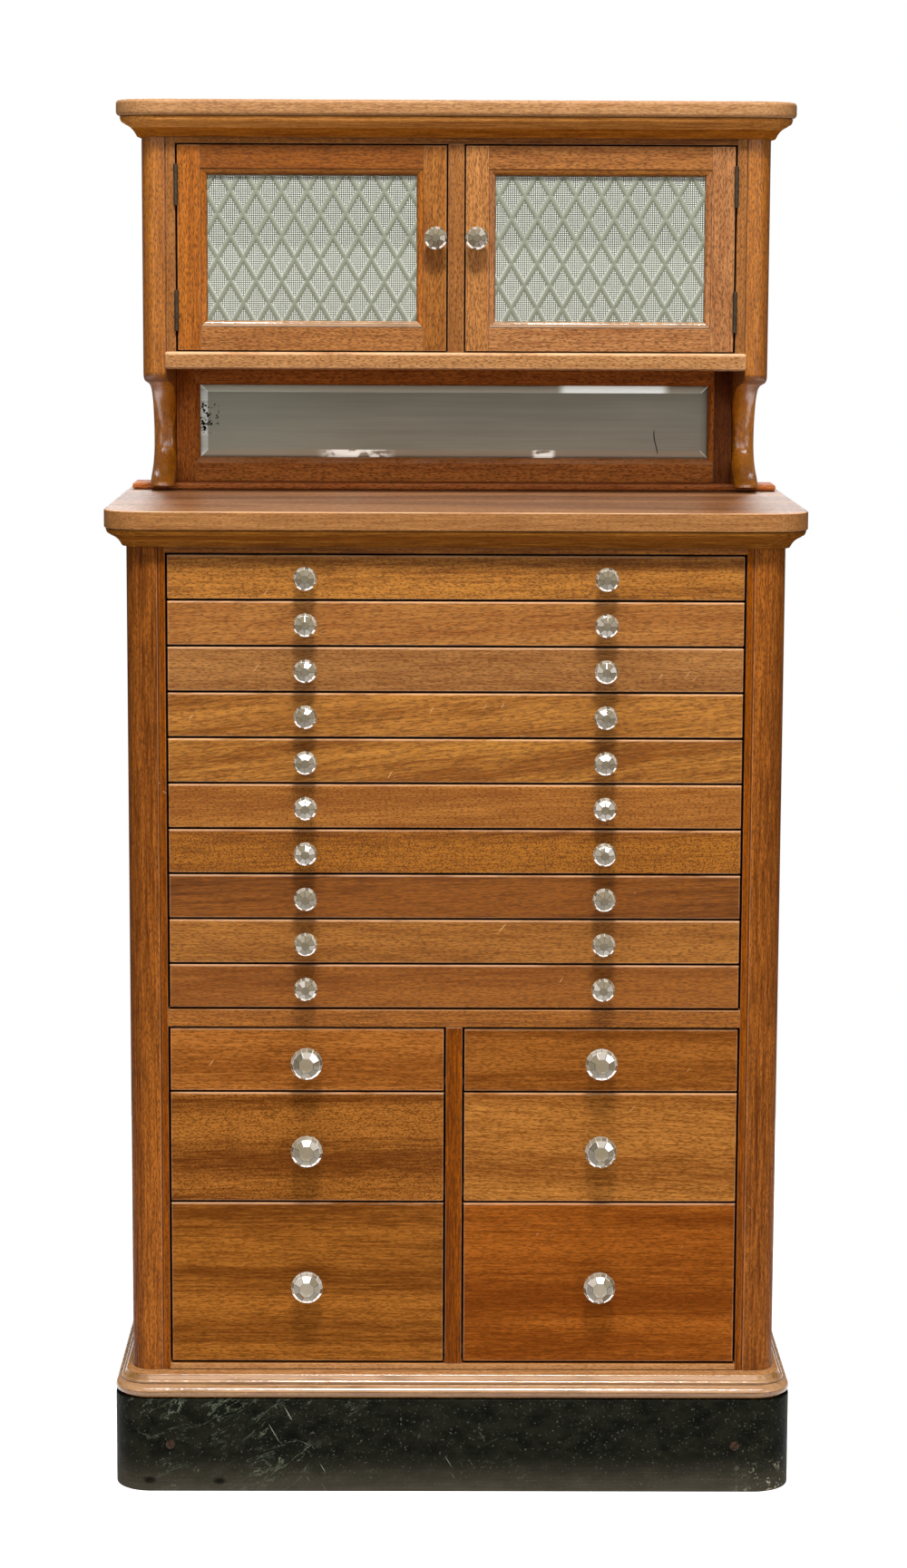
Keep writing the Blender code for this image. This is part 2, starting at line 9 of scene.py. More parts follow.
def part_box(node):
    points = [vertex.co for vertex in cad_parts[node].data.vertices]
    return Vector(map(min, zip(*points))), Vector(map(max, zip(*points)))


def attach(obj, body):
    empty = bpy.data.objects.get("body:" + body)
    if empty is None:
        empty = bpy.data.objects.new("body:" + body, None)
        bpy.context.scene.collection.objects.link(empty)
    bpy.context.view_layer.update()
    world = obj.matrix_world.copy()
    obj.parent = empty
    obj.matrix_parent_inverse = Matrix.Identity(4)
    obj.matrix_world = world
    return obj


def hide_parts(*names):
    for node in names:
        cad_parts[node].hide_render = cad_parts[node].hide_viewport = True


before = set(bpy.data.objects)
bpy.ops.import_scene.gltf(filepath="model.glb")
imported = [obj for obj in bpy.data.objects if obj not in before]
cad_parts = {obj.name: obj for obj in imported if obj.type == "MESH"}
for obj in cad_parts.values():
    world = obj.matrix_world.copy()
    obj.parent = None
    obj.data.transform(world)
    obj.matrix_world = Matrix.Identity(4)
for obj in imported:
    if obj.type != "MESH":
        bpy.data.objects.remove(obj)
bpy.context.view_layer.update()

# Plinth: boards in black marbled paint round a hollow, with round front corners.
# The paint is old and scuffed, dusty along the floor and chipped at the right-hand corner.
plinth_low, plinth_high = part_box("plinth")
case_low, case_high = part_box("lower_case")
case_half, case_front, case_back = case_high.x, case_low.y, case_high.y
post_round = 0.022
plinth_out = 0.020
plinth_thick = 0.020
plinth_ease, plinth_back_ease = 0.002, 0.001
plinth_back_lift = 0.002
corner_steps = 14
plinth_dents = ((-0.346, 0.0133), (-0.2663, 0.0124))


class Stain:
    """One socket of a finish. Sums and products of stains and numbers become Math nodes."""

    def __init__(self, tree, socket):
        self.tree = tree
        self.socket = socket

    def node(self, kind, settings, values, output=0):
        made = self.tree.nodes.new("ShaderNode" + kind)
        for name, value in settings.items():
            setattr(made, name, value)
        for name, value in values.items():
            if isinstance(value, Stain):
                self.tree.links.new(value.socket, made.inputs[name])
            else:
                made.inputs[name].default_value = value
        return Stain(self.tree, made.outputs[output])

    def worked(self, operation, first, second=0.0):
        return self.node("Math", {"operation": operation}, {0: first, 1: second})

    def __add__(self, other):
        return self.worked("ADD", self, other)

    __radd__ = __add__

    def __sub__(self, other):
        return self.worked("SUBTRACT", self, other)

    def __rsub__(self, other):
        return self.worked("SUBTRACT", other, self)

    def __mul__(self, other):
        return self.worked("MULTIPLY", self, other)

    __rmul__ = __mul__

    def __abs__(self):
        return self.worked("ABSOLUTE", self)


def finish(name, **everywhere):
    """A new material: its shader, set where a value is the same all over, and a point on it."""
    made = bpy.data.materials.new(name)
    made.use_nodes = True
    tree = made.node_tree
    shader = tree.nodes["Principled BSDF"]
    for socket, value in everywhere.items():
        shader.inputs[socket.replace("_", " ")].default_value = value
    point = Stain(tree, tree.nodes.new("ShaderNodeTexCoord").outputs["Object"])
    return made, shader, point


def lay_on(shader, **stains):
    for socket, stain in stains.items():
        stain.tree.links.new(stain.socket, shader.inputs[socket.replace("_", " ")])


def rotated(point, turn, move=(0, 0, 0)):
    return point.node("Mapping", {}, {"Vector": point, "Rotation": turn, "Location": move})


def stretched(point, scale):
    return point.node("VectorMath", {"operation": "MULTIPLY"}, {0: point, 1: scale})


def cloud(point, scale, detail=2.0, roughness=0.55, distortion=0.0):
    return point.node("TexNoise", {}, {"Vector": point, "Scale": scale, "Detail": detail,
                                       "Roughness": roughness, "Distortion": distortion})


def between(value, low, high):
    """0 below the low mark, 1 above the high one, with a soft step."""
    return value.node("MapRange", {"interpolation_type": "SMOOTHSTEP"},
                      {"Value": value, "From Min": low, "From Max": high})


def blended(share, first, second):
    first, second = (tone if isinstance(tone, Stain) else (*tone, 1) for tone in (first, second))
    return share.node("Mix", {"data_type": "RGBA"}, {0: share, 6: first, 7: second}, 2)


def coated(colour, *coats):
    """Lays one coat after another, each a share and a colour, over a ground colour."""
    for share, over in coats:
        colour = blended(share, colour, over)
    return colour


def axis_of(point, axis):
    return point.node("SeparateXYZ", {}, {0: point}, axis)


def attribute(point, name, output=2):
    return point.node("Attribute", {"attribute_name": name}, {}, output)


def bumped(height, strength, distance):
    return height.node("Bump", {}, {"Height": height, "Strength": strength, "Distance": distance})


def blank():
    """A mesh whose faces can be marked pale: worn by hands and cloths, and lit, for painted highlights."""
    bm = bmesh.new()
    bm.faces.layers.float.new("wear_and_highlight")
    return bm


def extruded(bm, edges):
    """Extrudes a chain of edges in place, and gives its new points and edges."""
    made = bmesh.ops.extrude_edge_only(bm, edges=edges)["geom"]
    verts = [part for part in made if isinstance(part, bmesh.types.BMVert)]
    fresh = set(verts)
    return verts, [part for part in made if isinstance(part, bmesh.types.BMEdge)
                   and fresh.issuperset(part.verts)]


def bevelled(bm, edges, offset, segments):
    """Eases edges, and gives the faces that this makes."""
    return bmesh.ops.bevel(bm, geom=list(edges), offset=offset, affect="EDGES", segments=segments,
                           profile=0.5, material=-1)["faces"]


def faced_out(bm):
    bmesh.ops.recalc_face_normals(bm, faces=bm.faces)


def drawn(bm, edges, move):
    """Extrudes a chain of edges straight along."""
    verts, edges = extruded(bm, edges)
    bmesh.ops.translate(bm, vec=move, verts=verts)
    return edges


def turned(bm, edges, centre):
    """Carries a chain of edges a quarter turn round an upright axis."""
    ends = bmesh.ops.spin(bm, geom=edges, cent=centre, axis=(0, 0, 1), angle=-math.pi / 2,
                          steps=corner_steps, use_merge=False, use_duplicate=False)
    return [part for part in ends["geom_last"] if isinstance(part, bmesh.types.BMEdge)]


def run_round(bm, profile, half, front, ring=False):
    """Runs a profile of (stands out, level) points along the right side, front and left side."""
    verts = [bm.verts.new((half + out, case_back, level)) for out, level in profile]
    pairs = list(zip(verts, verts[1:]))
    if ring:
        pairs.append((verts[-1], verts[0]))
    first = [bm.edges.new(pair) for pair in pairs]
    edges = drawn(bm, first, (0, front + post_round - case_back, 0))
    edges = turned(bm, edges, (half - post_round, front + post_round, 0))
    edges = drawn(bm, edges, (2 * (post_round - half), 0, 0))
    edges = turned(bm, edges, (post_round - half, front + post_round, 0))
    last = drawn(bm, edges, (0, case_back - front - post_round, 0))
    if ring:
        bmesh.ops.edgeloop_fill(bm, edges=first)
        bmesh.ops.edgeloop_fill(bm, edges=last)
    else:
        bmesh.ops.bridge_loops(bm, edges=first + last)
        bmesh.ops.holes_fill(bm, edges=[edge for edge in bm.edges if edge.is_boundary], sides=0)
    faced_out(bm)
    wear_and_highlight = bm.faces.layers.float["wear_and_highlight"]
    # Faces that slope upwards are marked pale: partly worn varnish, partly a painted highlight where the
    # light catches them.
    for face in bm.faces:
        face[wear_and_highlight] = 1.0 if 0.2 < face.normal.z < 0.97 else 0.0


def rounded_edge(out, ease, level, thick, steps=4):
    """The edge of a board, eased above and below, from below upwards."""
    points = []
    for centre, start in ((level + ease, -90), (level + thick - ease, 0)):
        for step in range(steps + 1):
            turn = math.radians(start + 90 * step / steps)
            points.append((out - ease + ease * math.cos(turn), centre + ease * math.sin(turn)))
    return points


def block(bm, first, last, look):
    """Adds a sawn block between two opposite corners, and gives its points."""
    first, last = Vector(first), Vector(last)
    size = [abs(length) for length in last - first]
    place = Matrix.Translation((first + last) / 2) @ Matrix.Diagonal((*size, 1.0))
    verts = bmesh.ops.create_cube(bm, size=1.0, matrix=place)["verts"]
    for face in {face for vert in verts for face in vert.link_faces}:
        face.material_index = look
    return verts


def board(bm, first, last, ease, look=0, wear_and_highlight_share=1.0, segments=2):
    """Adds a board with eased edges between two opposite corners."""
    edges = {edge for vert in block(bm, first, last, look) for edge in vert.link_edges}
    wear_and_highlight = bm.faces.layers.float["wear_and_highlight"]
    # Eased faces are marked pale, most where they face upwards: partly worn varnish, partly a painted
    # highlight.
    for face in bevelled(bm, edges, ease, segments):
        face.normal_update()
        face[wear_and_highlight] = wear_and_highlight_share * (0.25 + 0.75 * max(face.normal.z, 0.0))
        face.material_index = look


def made_up(name, bm, looks, crease=40, weighted=True):
    """Turns a finished mesh into a piece at the origin, smooth up to its crease angle."""
    mesh = bpy.data.meshes.new(name)
    bm.to_mesh(mesh)
    bm.free()
    for look in looks:
        mesh.materials.append(look)
    made = bpy.data.objects.new(name, mesh)
    bpy.context.scene.collection.objects.link(made)
    if crease:
        mesh.shade_smooth()
        mesh.set_sharp_from_angle(angle=math.radians(crease))
        if weighted:
            made.modifiers.new("flats", "WEIGHTED_NORMAL").keep_sharp = True
    return made


def fitted(piece, body, node=None):
    """Fits a piece to its body and, if any, hides the node that it stands for."""
    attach(piece, body)
    if node:
        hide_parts(node)


black_paint, shader, point = finish("black_paint", Specular_IOR_Level=0.02)
across, inwards, level = (axis_of(point, axis) for axis in range(3))
swirl = cloud(stretched(rotated(point, (0, 0.6, 0)), (0.7, 1.0, 2.2)), 11.0, 8.0, 0.68, 1.4)
veins = 1 - between(abs(swirl - 0.5), 0.001, 0.010)
leftward = 0.20 * (1 - between(abs(across + 0.24), 0.07, 0.24))
veins = veins * between(cloud(point, 13.0, 4.0, 0.75) + leftward, 0.62, 0.78)
nicked = stretched(rotated(point, (0, -1.05, 0)), (26.0, 26.0, 700.0))
nicks = between(cloud(nicked, 1.0, 0.0), 0.79, 0.82)
nicks = nicks * between(cloud(point, 17.0, 1.0) + 0.5 * leftward, 0.66, 0.70)
mottle = cloud(stretched(point, (1.0, 1.0, 1.6)), 30.0, 6.0, 0.72)
specks = between(cloud(point, 380.0, 2.0, 0.6), 0.64, 0.70)
scuffs = between(cloud(stretched(point, (9.0, 9.0, 60.0)), 9.0, 3.0, 0.7), 0.62, 0.74)
scuffs = scuffs * between(cloud(point, 8.0, 2.0), 0.5, 0.68)
dust = 1 - between(level + 0.06 * mottle, 0.020, 0.075)
corner = between(across, 0.31, 0.37) * (1 - between(level, 0.015, 0.050))
corner = corner * (1 - between(inwards, case_front - 0.010, case_front + 0.010))
chips = between(cloud(point, 130.0, 4.0, 0.75), 0.56, 0.62) * corner
brushed = cloud(stretched(point, (6.0, 6.0, 420.0)), 1.0, 3.0, 0.6)
dents = 0.0
for dent_x, dent_z in plinth_dents:
    away = point.node("VectorMath", {"operation": "DISTANCE"},
                      {0: stretched(point, (1.0, 0.0, 1.7)), 1: (dent_x, 0.0, 1.7 * dent_z)}, 1)
    dents = dents + (1 - between(away + 0.004 * mottle, 0.005, 0.012))
colour = coated(
    blended(between(mottle, 0.3, 0.7), (0.0013, 0.0015, 0.0009), (0.0083, 0.0085, 0.0051)),
    (0.8 * veins, (0.110, 0.130, 0.085)),
    (0.8 * nicks, (0.24, 0.24, 0.19)),
    (0.35 * scuffs, (0.080, 0.080, 0.064)),
    (0.5 * specks, (0.085, 0.082, 0.062)),
    (0.8 * dust, (0.024, 0.0195, 0.0118)),
    (0.16 * brushed * dust, (0.20, 0.185, 0.14)),
    (0.85 * dents, (0.0015, 0.0012, 0.0008)),
    (0.75 * chips, (0.30, 0.27, 0.20)))
lay_on(shader, Base_Color=colour, Roughness=0.36 + 0.25 * mottle + 0.2 * dust,
       Normal=bumped(mottle + 0.5 * veins - scuffs - 2 * dents, 0.25, 0.0008))

bm = blank()
outside = rounded_edge(plinth_out, plinth_ease, plinth_low.z, plinth_high.z - plinth_low.z)
inside = [(plinth_out - plinth_thick, plinth_high.z), (plinth_out - plinth_thick, plinth_low.z)]
run_round(bm, outside + inside, case_half, case_front, ring=True)
inner_half = case_half + plinth_out - plinth_thick
board(bm, (-inner_half, case_back - plinth_thick, plinth_low.z + plinth_back_lift),
      (inner_half, case_back, plinth_high.z), plinth_back_ease)
fitted(made_up("plinth_boards", bm, [black_paint]), "cabinet", "plinth")

# Plinth screws: two slotted copper-plated heads, one near each end of the front board.
# They are turned from rod and slotted, and have gone rusty.
screw_radius, screw_rise, screw_flare = 0.0052, 0.0016, 1.08
screw_rim_share = 0.98
slot_half, slot_deep = 0.0008, 0.0010
screw_places = ((-0.322, 0.056, 0.4), (0.322, 0.055, -0.7))

rusty_copper, shader, point = finish("rusty_copper", Specular_IOR_Level=0.12)
rust = cloud(point, 420.0, 4.0, 0.7)
colour = blended(between(rust, 0.4, 0.65), (0.030, 0.014, 0.006), (0.006, 0.004, 0.002))
lay_on(shader, Base_Color=colour, Roughness=0.35 + 0.4 * rust, Normal=bumped(rust, 0.3, 0.0003))

bm = blank()
for across, level, slot_turn in screw_places:
    head = bmesh.new()
    bmesh.ops.create_circle(head, cap_ends=True, segments=28, radius=screw_radius)
    for edge_side in (-slot_half, slot_half):
        bmesh.ops.bisect_plane(head, geom=head.verts[:] + head.edges[:] + head.faces[:],
                               plane_co=(edge_side, 0, 0), plane_no=(1, 0, 0))
    middle = [face for face in head.faces if abs(face.calc_center_median().x) < slot_half]
    sunk = bmesh.ops.extrude_discrete_faces(head, faces=middle)["faces"]
    bmesh.ops.translate(head, vec=(0, 0, -slot_deep),
                        verts=list({vert for face in sunk for vert in face.verts}))
    rim = [edge for edge in head.edges if edge.is_boundary
           and max(vert.co.to_2d().length for vert in edge.verts) > screw_radius * screw_rim_share
           and min(vert.co.z for vert in edge.verts) > -slot_deep / 10]
    skirt, _ = extruded(head, rim)
    bmesh.ops.translate(head, vec=(0, 0, -screw_rise), verts=skirt)
    bmesh.ops.scale(head, vec=(screw_flare, screw_flare, 1.0), verts=skirt)
    faced_out(head)
    stand = Matrix.Translation((across, case_front - plinth_out - screw_rise, level))
    stand = stand @ Matrix.Rotation(math.pi / 2, 4, "X") @ Matrix.Rotation(slot_turn, 4, "Z")
    bmesh.ops.transform(head, matrix=stand, verts=head.verts)
    shape = bpy.data.meshes.new("screw")
    head.to_mesh(shape)
    head.free()
    bm.from_mesh(shape)
    bpy.data.meshes.remove(shape)
fitted(made_up("plinth_screws", bm, [rusty_copper]), "cabinet")

# Base board: a mahogany board laid on the plinth, its edge run as a thick roll with two reeds stepped
# back above it, worn pale where feet and mops have rubbed the varnish away; the pale crests are partly a
# painted highlight.
base_low, base_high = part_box("base_board")
reeds = (
    (0.0071, 0.0134, 0.0071, -80, 80), (0.0031, 0.0102, 0.0170, -35, 88), (0.0015, 0.0066, 0.0241, -5, 75))
reed_steps = 12


def streaks(wood, along, across, detail, roughness=0.55, distortion=0.0):
    return cloud(stretched(wood, (along, across, across)), 1.0, detail, roughness, distortion)


def mahogany(name, grain, seed, light, dark, slant=0.0, ribbon=0.6, pale=0.4, pores=0.62, fleck=190.0,
             rough=0.36, gloss=0.1, bands=26.0, relief=0.35):
    """Varnished mahogany: ribbon figure, fibres, dark pores, pale marked edges and a few scratches; the pale
    marks are partly worn varnish, partly painted highlights.
    """
    made, shader, point = finish(name, Specular_IOR_Level=gloss)
    turn = {"x": (0, slant, 0), "y": (0, 0, -math.pi / 2), "z": (0, math.pi / 2 + slant, 0)}[grain]
    wood = rotated(point, turn, (0.71 * seed, 0.37 * seed, 0.53 * seed))
    figure = streaks(wood, 1.0, bands, 3.0, 0.6, 0.6)
    fibres = streaks(wood, 22.0, 480.0, 2.0, 0.7)
    flecks = between(streaks(wood, fleck, 950.0, 1.0), 0.47, 0.62)
    tone = 0.5 + ribbon * (between(figure, 0.30, 0.70) - 0.5) + 2.3 * (fibres - 0.5)
    rubbed_and_lit = attribute(point, "wear_and_highlight") * between(streaks(wood, 12.0, 60.0, 3.0), 0.25, 0.55)
    scratch = between(streaks(rotated(wood, (0.5, 0.9, 0.3)), 9.0, 520.0, 0.0), 0.80, 0.84)
    scratch = scratch * between(cloud(wood, 6.0, 1.0), 0.62, 0.66)
    # The pale coat over marked faces is partly worn varnish, partly a painted highlight.
    colour = coated(
        blended(tone, dark, light), (pores * flecks, (0.050, 0.014, 0.002)),
        (pale * rubbed_and_lit, (0.78, 0.47, 0.27)), (0.35 * scratch, (0.62, 0.38, 0.20)))
    lay_on(shader, Base_Color=colour, Roughness=rough + 0.12 * fibres + 0.15 * flecks,
           Normal=bumped(0.6 * fibres - 0.9 * flecks - scratch, relief, 0.0004))
    return made


base_wood = mahogany(
    "base_wood", "x", 3.0, (0.192, 0.0918, 0.0231), (0.099, 0.0367, 0.0073), pale=0.22, pores=0.35,
    rough=0.04, gloss=0.65, relief=0.08)
base_flat_wood = mahogany(
    "base_flat_wood", "x", 4.0, (0.336, 0.162, 0.0606), (0.209, 0.0852, 0.0269), ribbon=0.35, pale=0.1,
    pores=0.4, gloss=0.03)
bm = blank()
profile = [(reeds[0][1], base_low.z)]
for reed_radius, reed_out, reed_up, first_turn, last_turn in reeds:
    for step in range(reed_steps + 1):
        turn = math.radians(first_turn + (last_turn - first_turn) * step / reed_steps)
        profile.append((reed_out + reed_radius * math.cos(turn),
                        base_low.z + reed_up + reed_radius * math.sin(turn)))
flat_low = profile[-1][1]
profile.append((0.0, base_high.z))
run_round(bm, profile, case_half, case_front)
for face in bm.faces:
    if face.calc_center_median().z > flat_low:
        face.material_index = 1
        face[bm.faces.layers.float["wear_and_highlight"]] = 0.0
fitted(made_up("base_reeds", bm, [base_wood, base_flat_wood]), "cabinet", "base_board")

# Chest front frame: two corner posts with a rounded outer edge, a flat strip beside each, three
# rails and the middle divider, all mahogany and glued. A sunk groove parts each strip and post.
sides = ((-1, "left"), (1, "right"))
chest_bottom, chest_top = case_low.z, case_high.z
opening_half = 0.3225
strip_wide, strip_ease = 0.0068, 0.0006
groove, groove_ease = 0.0018, 0.0001
frame_deep = 0.030
post_deep, post_inner_ease = 0.062, 0.0008
bottom_rail_top = 0.1455
mid_rail_low, mid_rail_top = 0.5380, 0.5579
top_rail_low = 1.0727
chest_rails = ((chest_bottom, bottom_rail_top), (mid_rail_low, mid_rail_top), (top_rail_low, chest_top))
rail_set_back, rail_ease = 0.0004, 0.0007
divider_half, divider_set_back, divider_ease = 0.0093, 0.0002, 0.0008

post_wood = mahogany(
    "post_wood", "z", 5.0, (0.238, 0.072, 0.0093), (0.0625, 0.0145, 0.0018), ribbon=0.55, gloss=0.04)
rail_wood = mahogany("rail_wood", "x", 8.0, (0.258, 0.0902, 0.0134), (0.0989, 0.0272, 0.0033))
strip_wood = mahogany(
    "strip_wood", "z", 11.0, (0.198, 0.0478, 0.0008), (0.0604, 0.0122, 0.0008), gloss=0.03)
# Painted shade: a near-black finish for the faces that look into the gaps round the drawers and under the
# rails.
gap_shade, shader, point = finish("gap_shade", Roughness=0.8, Specular_IOR_Level=0.05)
shade_mottle = cloud(point, 240.0, 3.0, 0.6)
lay_on(shader, Base_Color=blended(shade_mottle, (0.003, 0.0015, 0.0006), (0.010, 0.004, 0.0015)),
       Normal=bumped(shade_mottle, 0.3, 0.0004))


def round_post(bm, inner, outer, radius):
    """A square post, from its inner to its outer corner, with a quarter round on its outer front edge."""
    verts = block(bm, inner, outer, 0)
    corner = {}
    for edge in {edge for vert in verts for edge in vert.link_edges}:
        spot = edge.verts[0].co
        upright = abs(spot.z - edge.verts[1].co.z) > 1e-6
        if upright and spot.y < (inner[1] + outer[1]) / 2:
            corner[abs(spot.x - outer[0]) < abs(spot.x - inner[0])] = edge
    wear_and_highlight = bm.faces.layers.float["wear_and_highlight"]
    for outside, offset, segments, share in ((True, radius, 12, 0.0), (False, post_inner_ease, 2, 0.4)):
        for face in bevelled(bm, [corner[outside]], offset, segments):
            face[wear_and_highlight] = share
            face.material_index = 0


def front_edge(bm, side, half, front, low, post_low, top, strip, deep, post_deep, ease):
    """One side of a front: a narrow strip, a sunk groove and the round post."""
    strip_inner, strip_outer = side * opening_half, side * (opening_half + strip)
    post_inner = side * (opening_half + strip + groove)
    board(bm, (strip_inner, front, low), (strip_outer, front + deep, top), ease, 1)
    board(bm, (strip_outer, front + groove, low), (post_inner, front + deep, top), groove_ease, 1, 0.0)
    round_post(bm, (post_inner, front, post_low), (side * half, front + post_deep, top), post_round)


bm = blank()
for side, _ in sides:
    front_edge(bm, side, case_half, case_front, chest_bottom, chest_bottom, chest_top, strip_wide,
               frame_deep, post_deep, strip_ease)
for low, high in chest_rails:
    board(bm, (-opening_half, case_front + rail_set_back, low),
          (opening_half, case_front + frame_deep, high), rail_ease, 2)
board(bm, (-divider_half, case_front + divider_set_back, bottom_rail_top),
      (divider_half, case_front + frame_deep, mid_rail_low), divider_ease, 1)
# The rails' downward faces take the painted gap shade.
for face in bm.faces:
    if face.material_index == 2 and face.normal.z < -0.3:
        face.material_index = 3
    elif face.material_index == 2 and face.calc_center_median().z < bottom_rail_top:
        face.material_index = 4
fitted(made_up("chest_frame", bm, [post_wood, strip_wood, rail_wood, gap_shade, base_flat_wood]),
       "cabinet", "lower_case")

# Chest sides: mahogany stiles and rails round a thin sunk panel, grain upright, with a small bead
# nailed in round it. Each side is glued to its post.
side_thick, side_ease = 0.018, 0.0010
panel_sink, panel_tongue, panel_ease = 0.006, 0.004, 0.0005
stile_wide = 0.055
bead_wide, bead_under, bead_sink, bead_ease = 0.006, 0.001, 0.0015, 0.0022
side_wood = mahogany("side_wood", "z", 14.0, (0.38, 0.140, 0.034), (0.17, 0.048, 0.010))
side_rail_wood = mahogany("side_rail_wood", "y", 15.0, (0.38, 0.140, 0.034), (0.17, 0.048, 0.010))
panel_front, panel_back = case_front + post_deep, case_back - stile_wide
panel_low, panel_high = chest_bottom + stile_wide, chest_top - stile_wide
for side, word in sides:
    bm = blank()
    inner, outer = side * (case_half - side_thick), side * case_half
    board(bm, (inner, panel_back, chest_bottom), (outer, case_back, chest_top), side_ease, 0)
    for low, high in ((chest_bottom, panel_low), (panel_high, chest_top)):
        board(bm, (inner, panel_front, low), (outer, panel_back, high), side_ease, 1)
    board(bm, (inner, panel_front - panel_tongue, panel_low - panel_tongue),
          (side * (case_half - panel_sink), panel_back + panel_tongue, panel_high + panel_tongue),
          panel_ease, 0, 0.0)
    inner, outer = side * (case_half - panel_sink - bead_under), side * (case_half - bead_sink)
    for look, low, high in ((1, (panel_front, panel_low), (panel_back, panel_low + bead_wide)),
                            (1, (panel_front, panel_high - bead_wide), (panel_back, panel_high)),
                            (0, (panel_front, panel_low), (panel_front + bead_wide, panel_high)),
                            (0, (panel_back - bead_wide, panel_low), (panel_back, panel_high))):
        board(bm, (inner, *low), (outer, *high), bead_ease, look, 0.6, 3)
    fitted(made_up(f"{word}_chest_side", bm, [side_wood, side_rail_wood]), "cabinet")

# Chest back and inside: upright back planks with vee joints, dust boards, centre partition and
# the ledges that the drawers slide on, in a plain pale wood left unvarnished.
back_thick = 0.008
plank_count, plank_tongue, plank_vee = 7, 0.003, 0.0022
dust_gap, dust_ease = 0.0005, 0.0004
ledge_high, ledge_under, ledge_ease = 0.007, 0.008, 0.0006
box_half = 0.319
deep_centre, deep_box_half = 0.1659, 0.1531
tray_count, tray_step, tray_first = 10, 0.0513, 0.5597
deep_levels = {"lower": (0.1473, 0.1865), "middle": (0.3356, 0.1264), "upper": (0.4638, 0.0724)}
inside_half = case_half - side_thick
inside_front, inside_back = case_front + frame_deep, case_back - back_thick

plank_wood = mahogany(
    "plank_wood", "z", 18.0, (0.34, 0.185, 0.080), (0.20, 0.095, 0.038), pale=0.1, pores=0.3, rough=0.55)
dust_wood = mahogany(
    "dust_wood", "y", 19.0, (0.40, 0.23, 0.11), (0.26, 0.135, 0.058), pale=0.1, pores=0.3, rough=0.6)


def planked(bm, half, low, high):
    """A back of upright planks, side by side."""
    wide = 2 * half / plank_count
    for plank in range(plank_count):
        left = -half + plank * wide
        board(bm, (left, inside_back, low), (left + wide, case_back, high + plank_tongue), plank_vee, 0, 0.4)


bm = blank()
planked(bm, inside_half, chest_bottom, chest_top)
for low, high in chest_rails:
    board(bm, (-inside_half, inside_front, low + dust_gap), (inside_half, inside_back, high - dust_gap),
          dust_ease, 1, 0.0)
board(bm, (-divider_half, inside_front, bottom_rail_top), (divider_half, inside_back, mid_rail_low),
      dust_ease, 1, 0.0)
ledges = [(tray_first + tray * tray_step, box_half - ledge_under, inside_half) for tray in range(tray_count)]
for level, _ in deep_levels.values():
    ledges.append((level, deep_centre + deep_box_half - ledge_under, inside_half))
    ledges.append((level, divider_half, deep_centre - deep_box_half + ledge_under))
for level, inner, outer in ledges:
    for side, _ in sides:
        board(bm, (side * inner, inside_front, level), (side * outer, inside_back, level + ledge_high),
              ledge_ease, 1, 0.5)
fitted(made_up("chest_inside", bm, [plank_wood, dust_wood]), "cabinet")

# Worktop: a thick mahogany board with round front corners, over a moulding of a cove and an
# ovolo between small fillets. The top is faded and pinkish from light and wiping.
top_low, top_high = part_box("worktop")
worktop_moulding_high = 0.0200
worktop_hollow = (0.42, 0.66)
worktop_under = top_low.z + worktop_moulding_high
worktop_thick = top_high.z - top_low.z - worktop_moulding_high
worktop_out, worktop_moulding_out, worktop_ease = 0.0245, 0.0228, 0.0015
moulding_finish = {"ribbon": 0.7, "pale": 0.1, "pores": 0.3, "rough": 0.45, "gloss": 0.0}


def moulding(bottom, height, out, steps=7):
    """A run of fillet, cove, fillet, ovolo, fillet and quirk, from the carcass up to the board."""
    turns = [(step / steps, math.pi / 2 * step / steps) for step in range(steps + 1)]
    cove = [(0.24 + 0.25 * (share + 1 - math.cos(turn)), 0.07 + 0.26 * (share + math.sin(turn)))
            for share, turn in turns]
    ovolo = [(0.78 + 0.20 * math.sin(turn), 0.65 + 0.26 * (1 - math.cos(turn))) for _, turn in turns]
    shares = [(0.0, 0.0), (0.20, 0.0), (0.22, 0.06), *cove, (0.76, 0.60), (0.77, 0.64), *ovolo,
              (1.0, 0.93), (1.0, 0.955), (0.90, 0.96), (0.90, 1.0)]
    return [(out * share, bottom + height * up) for share, up in shares]


def shade_hollow(bm, bottom, height, first, last):
    """Gives the band of the moulding that is painted darker, as shade, the second look."""
    for face in bm.faces:
        if first < (face.calc_center_median().z - bottom) / height < last:
            face.material_index = 1


worktop_wood = mahogany(
    "worktop_wood", "x", 21.0, (0.278, 0.124, 0.0382), (0.166, 0.064, 0.0163), ribbon=0.4, pale=0.55,
    pores=0.40)
moulding_wood = mahogany(
    "moulding_wood", "x", 23.0, (0.239, 0.0883, 0.0123), (0.0945, 0.0291, 0.0046), **moulding_finish)
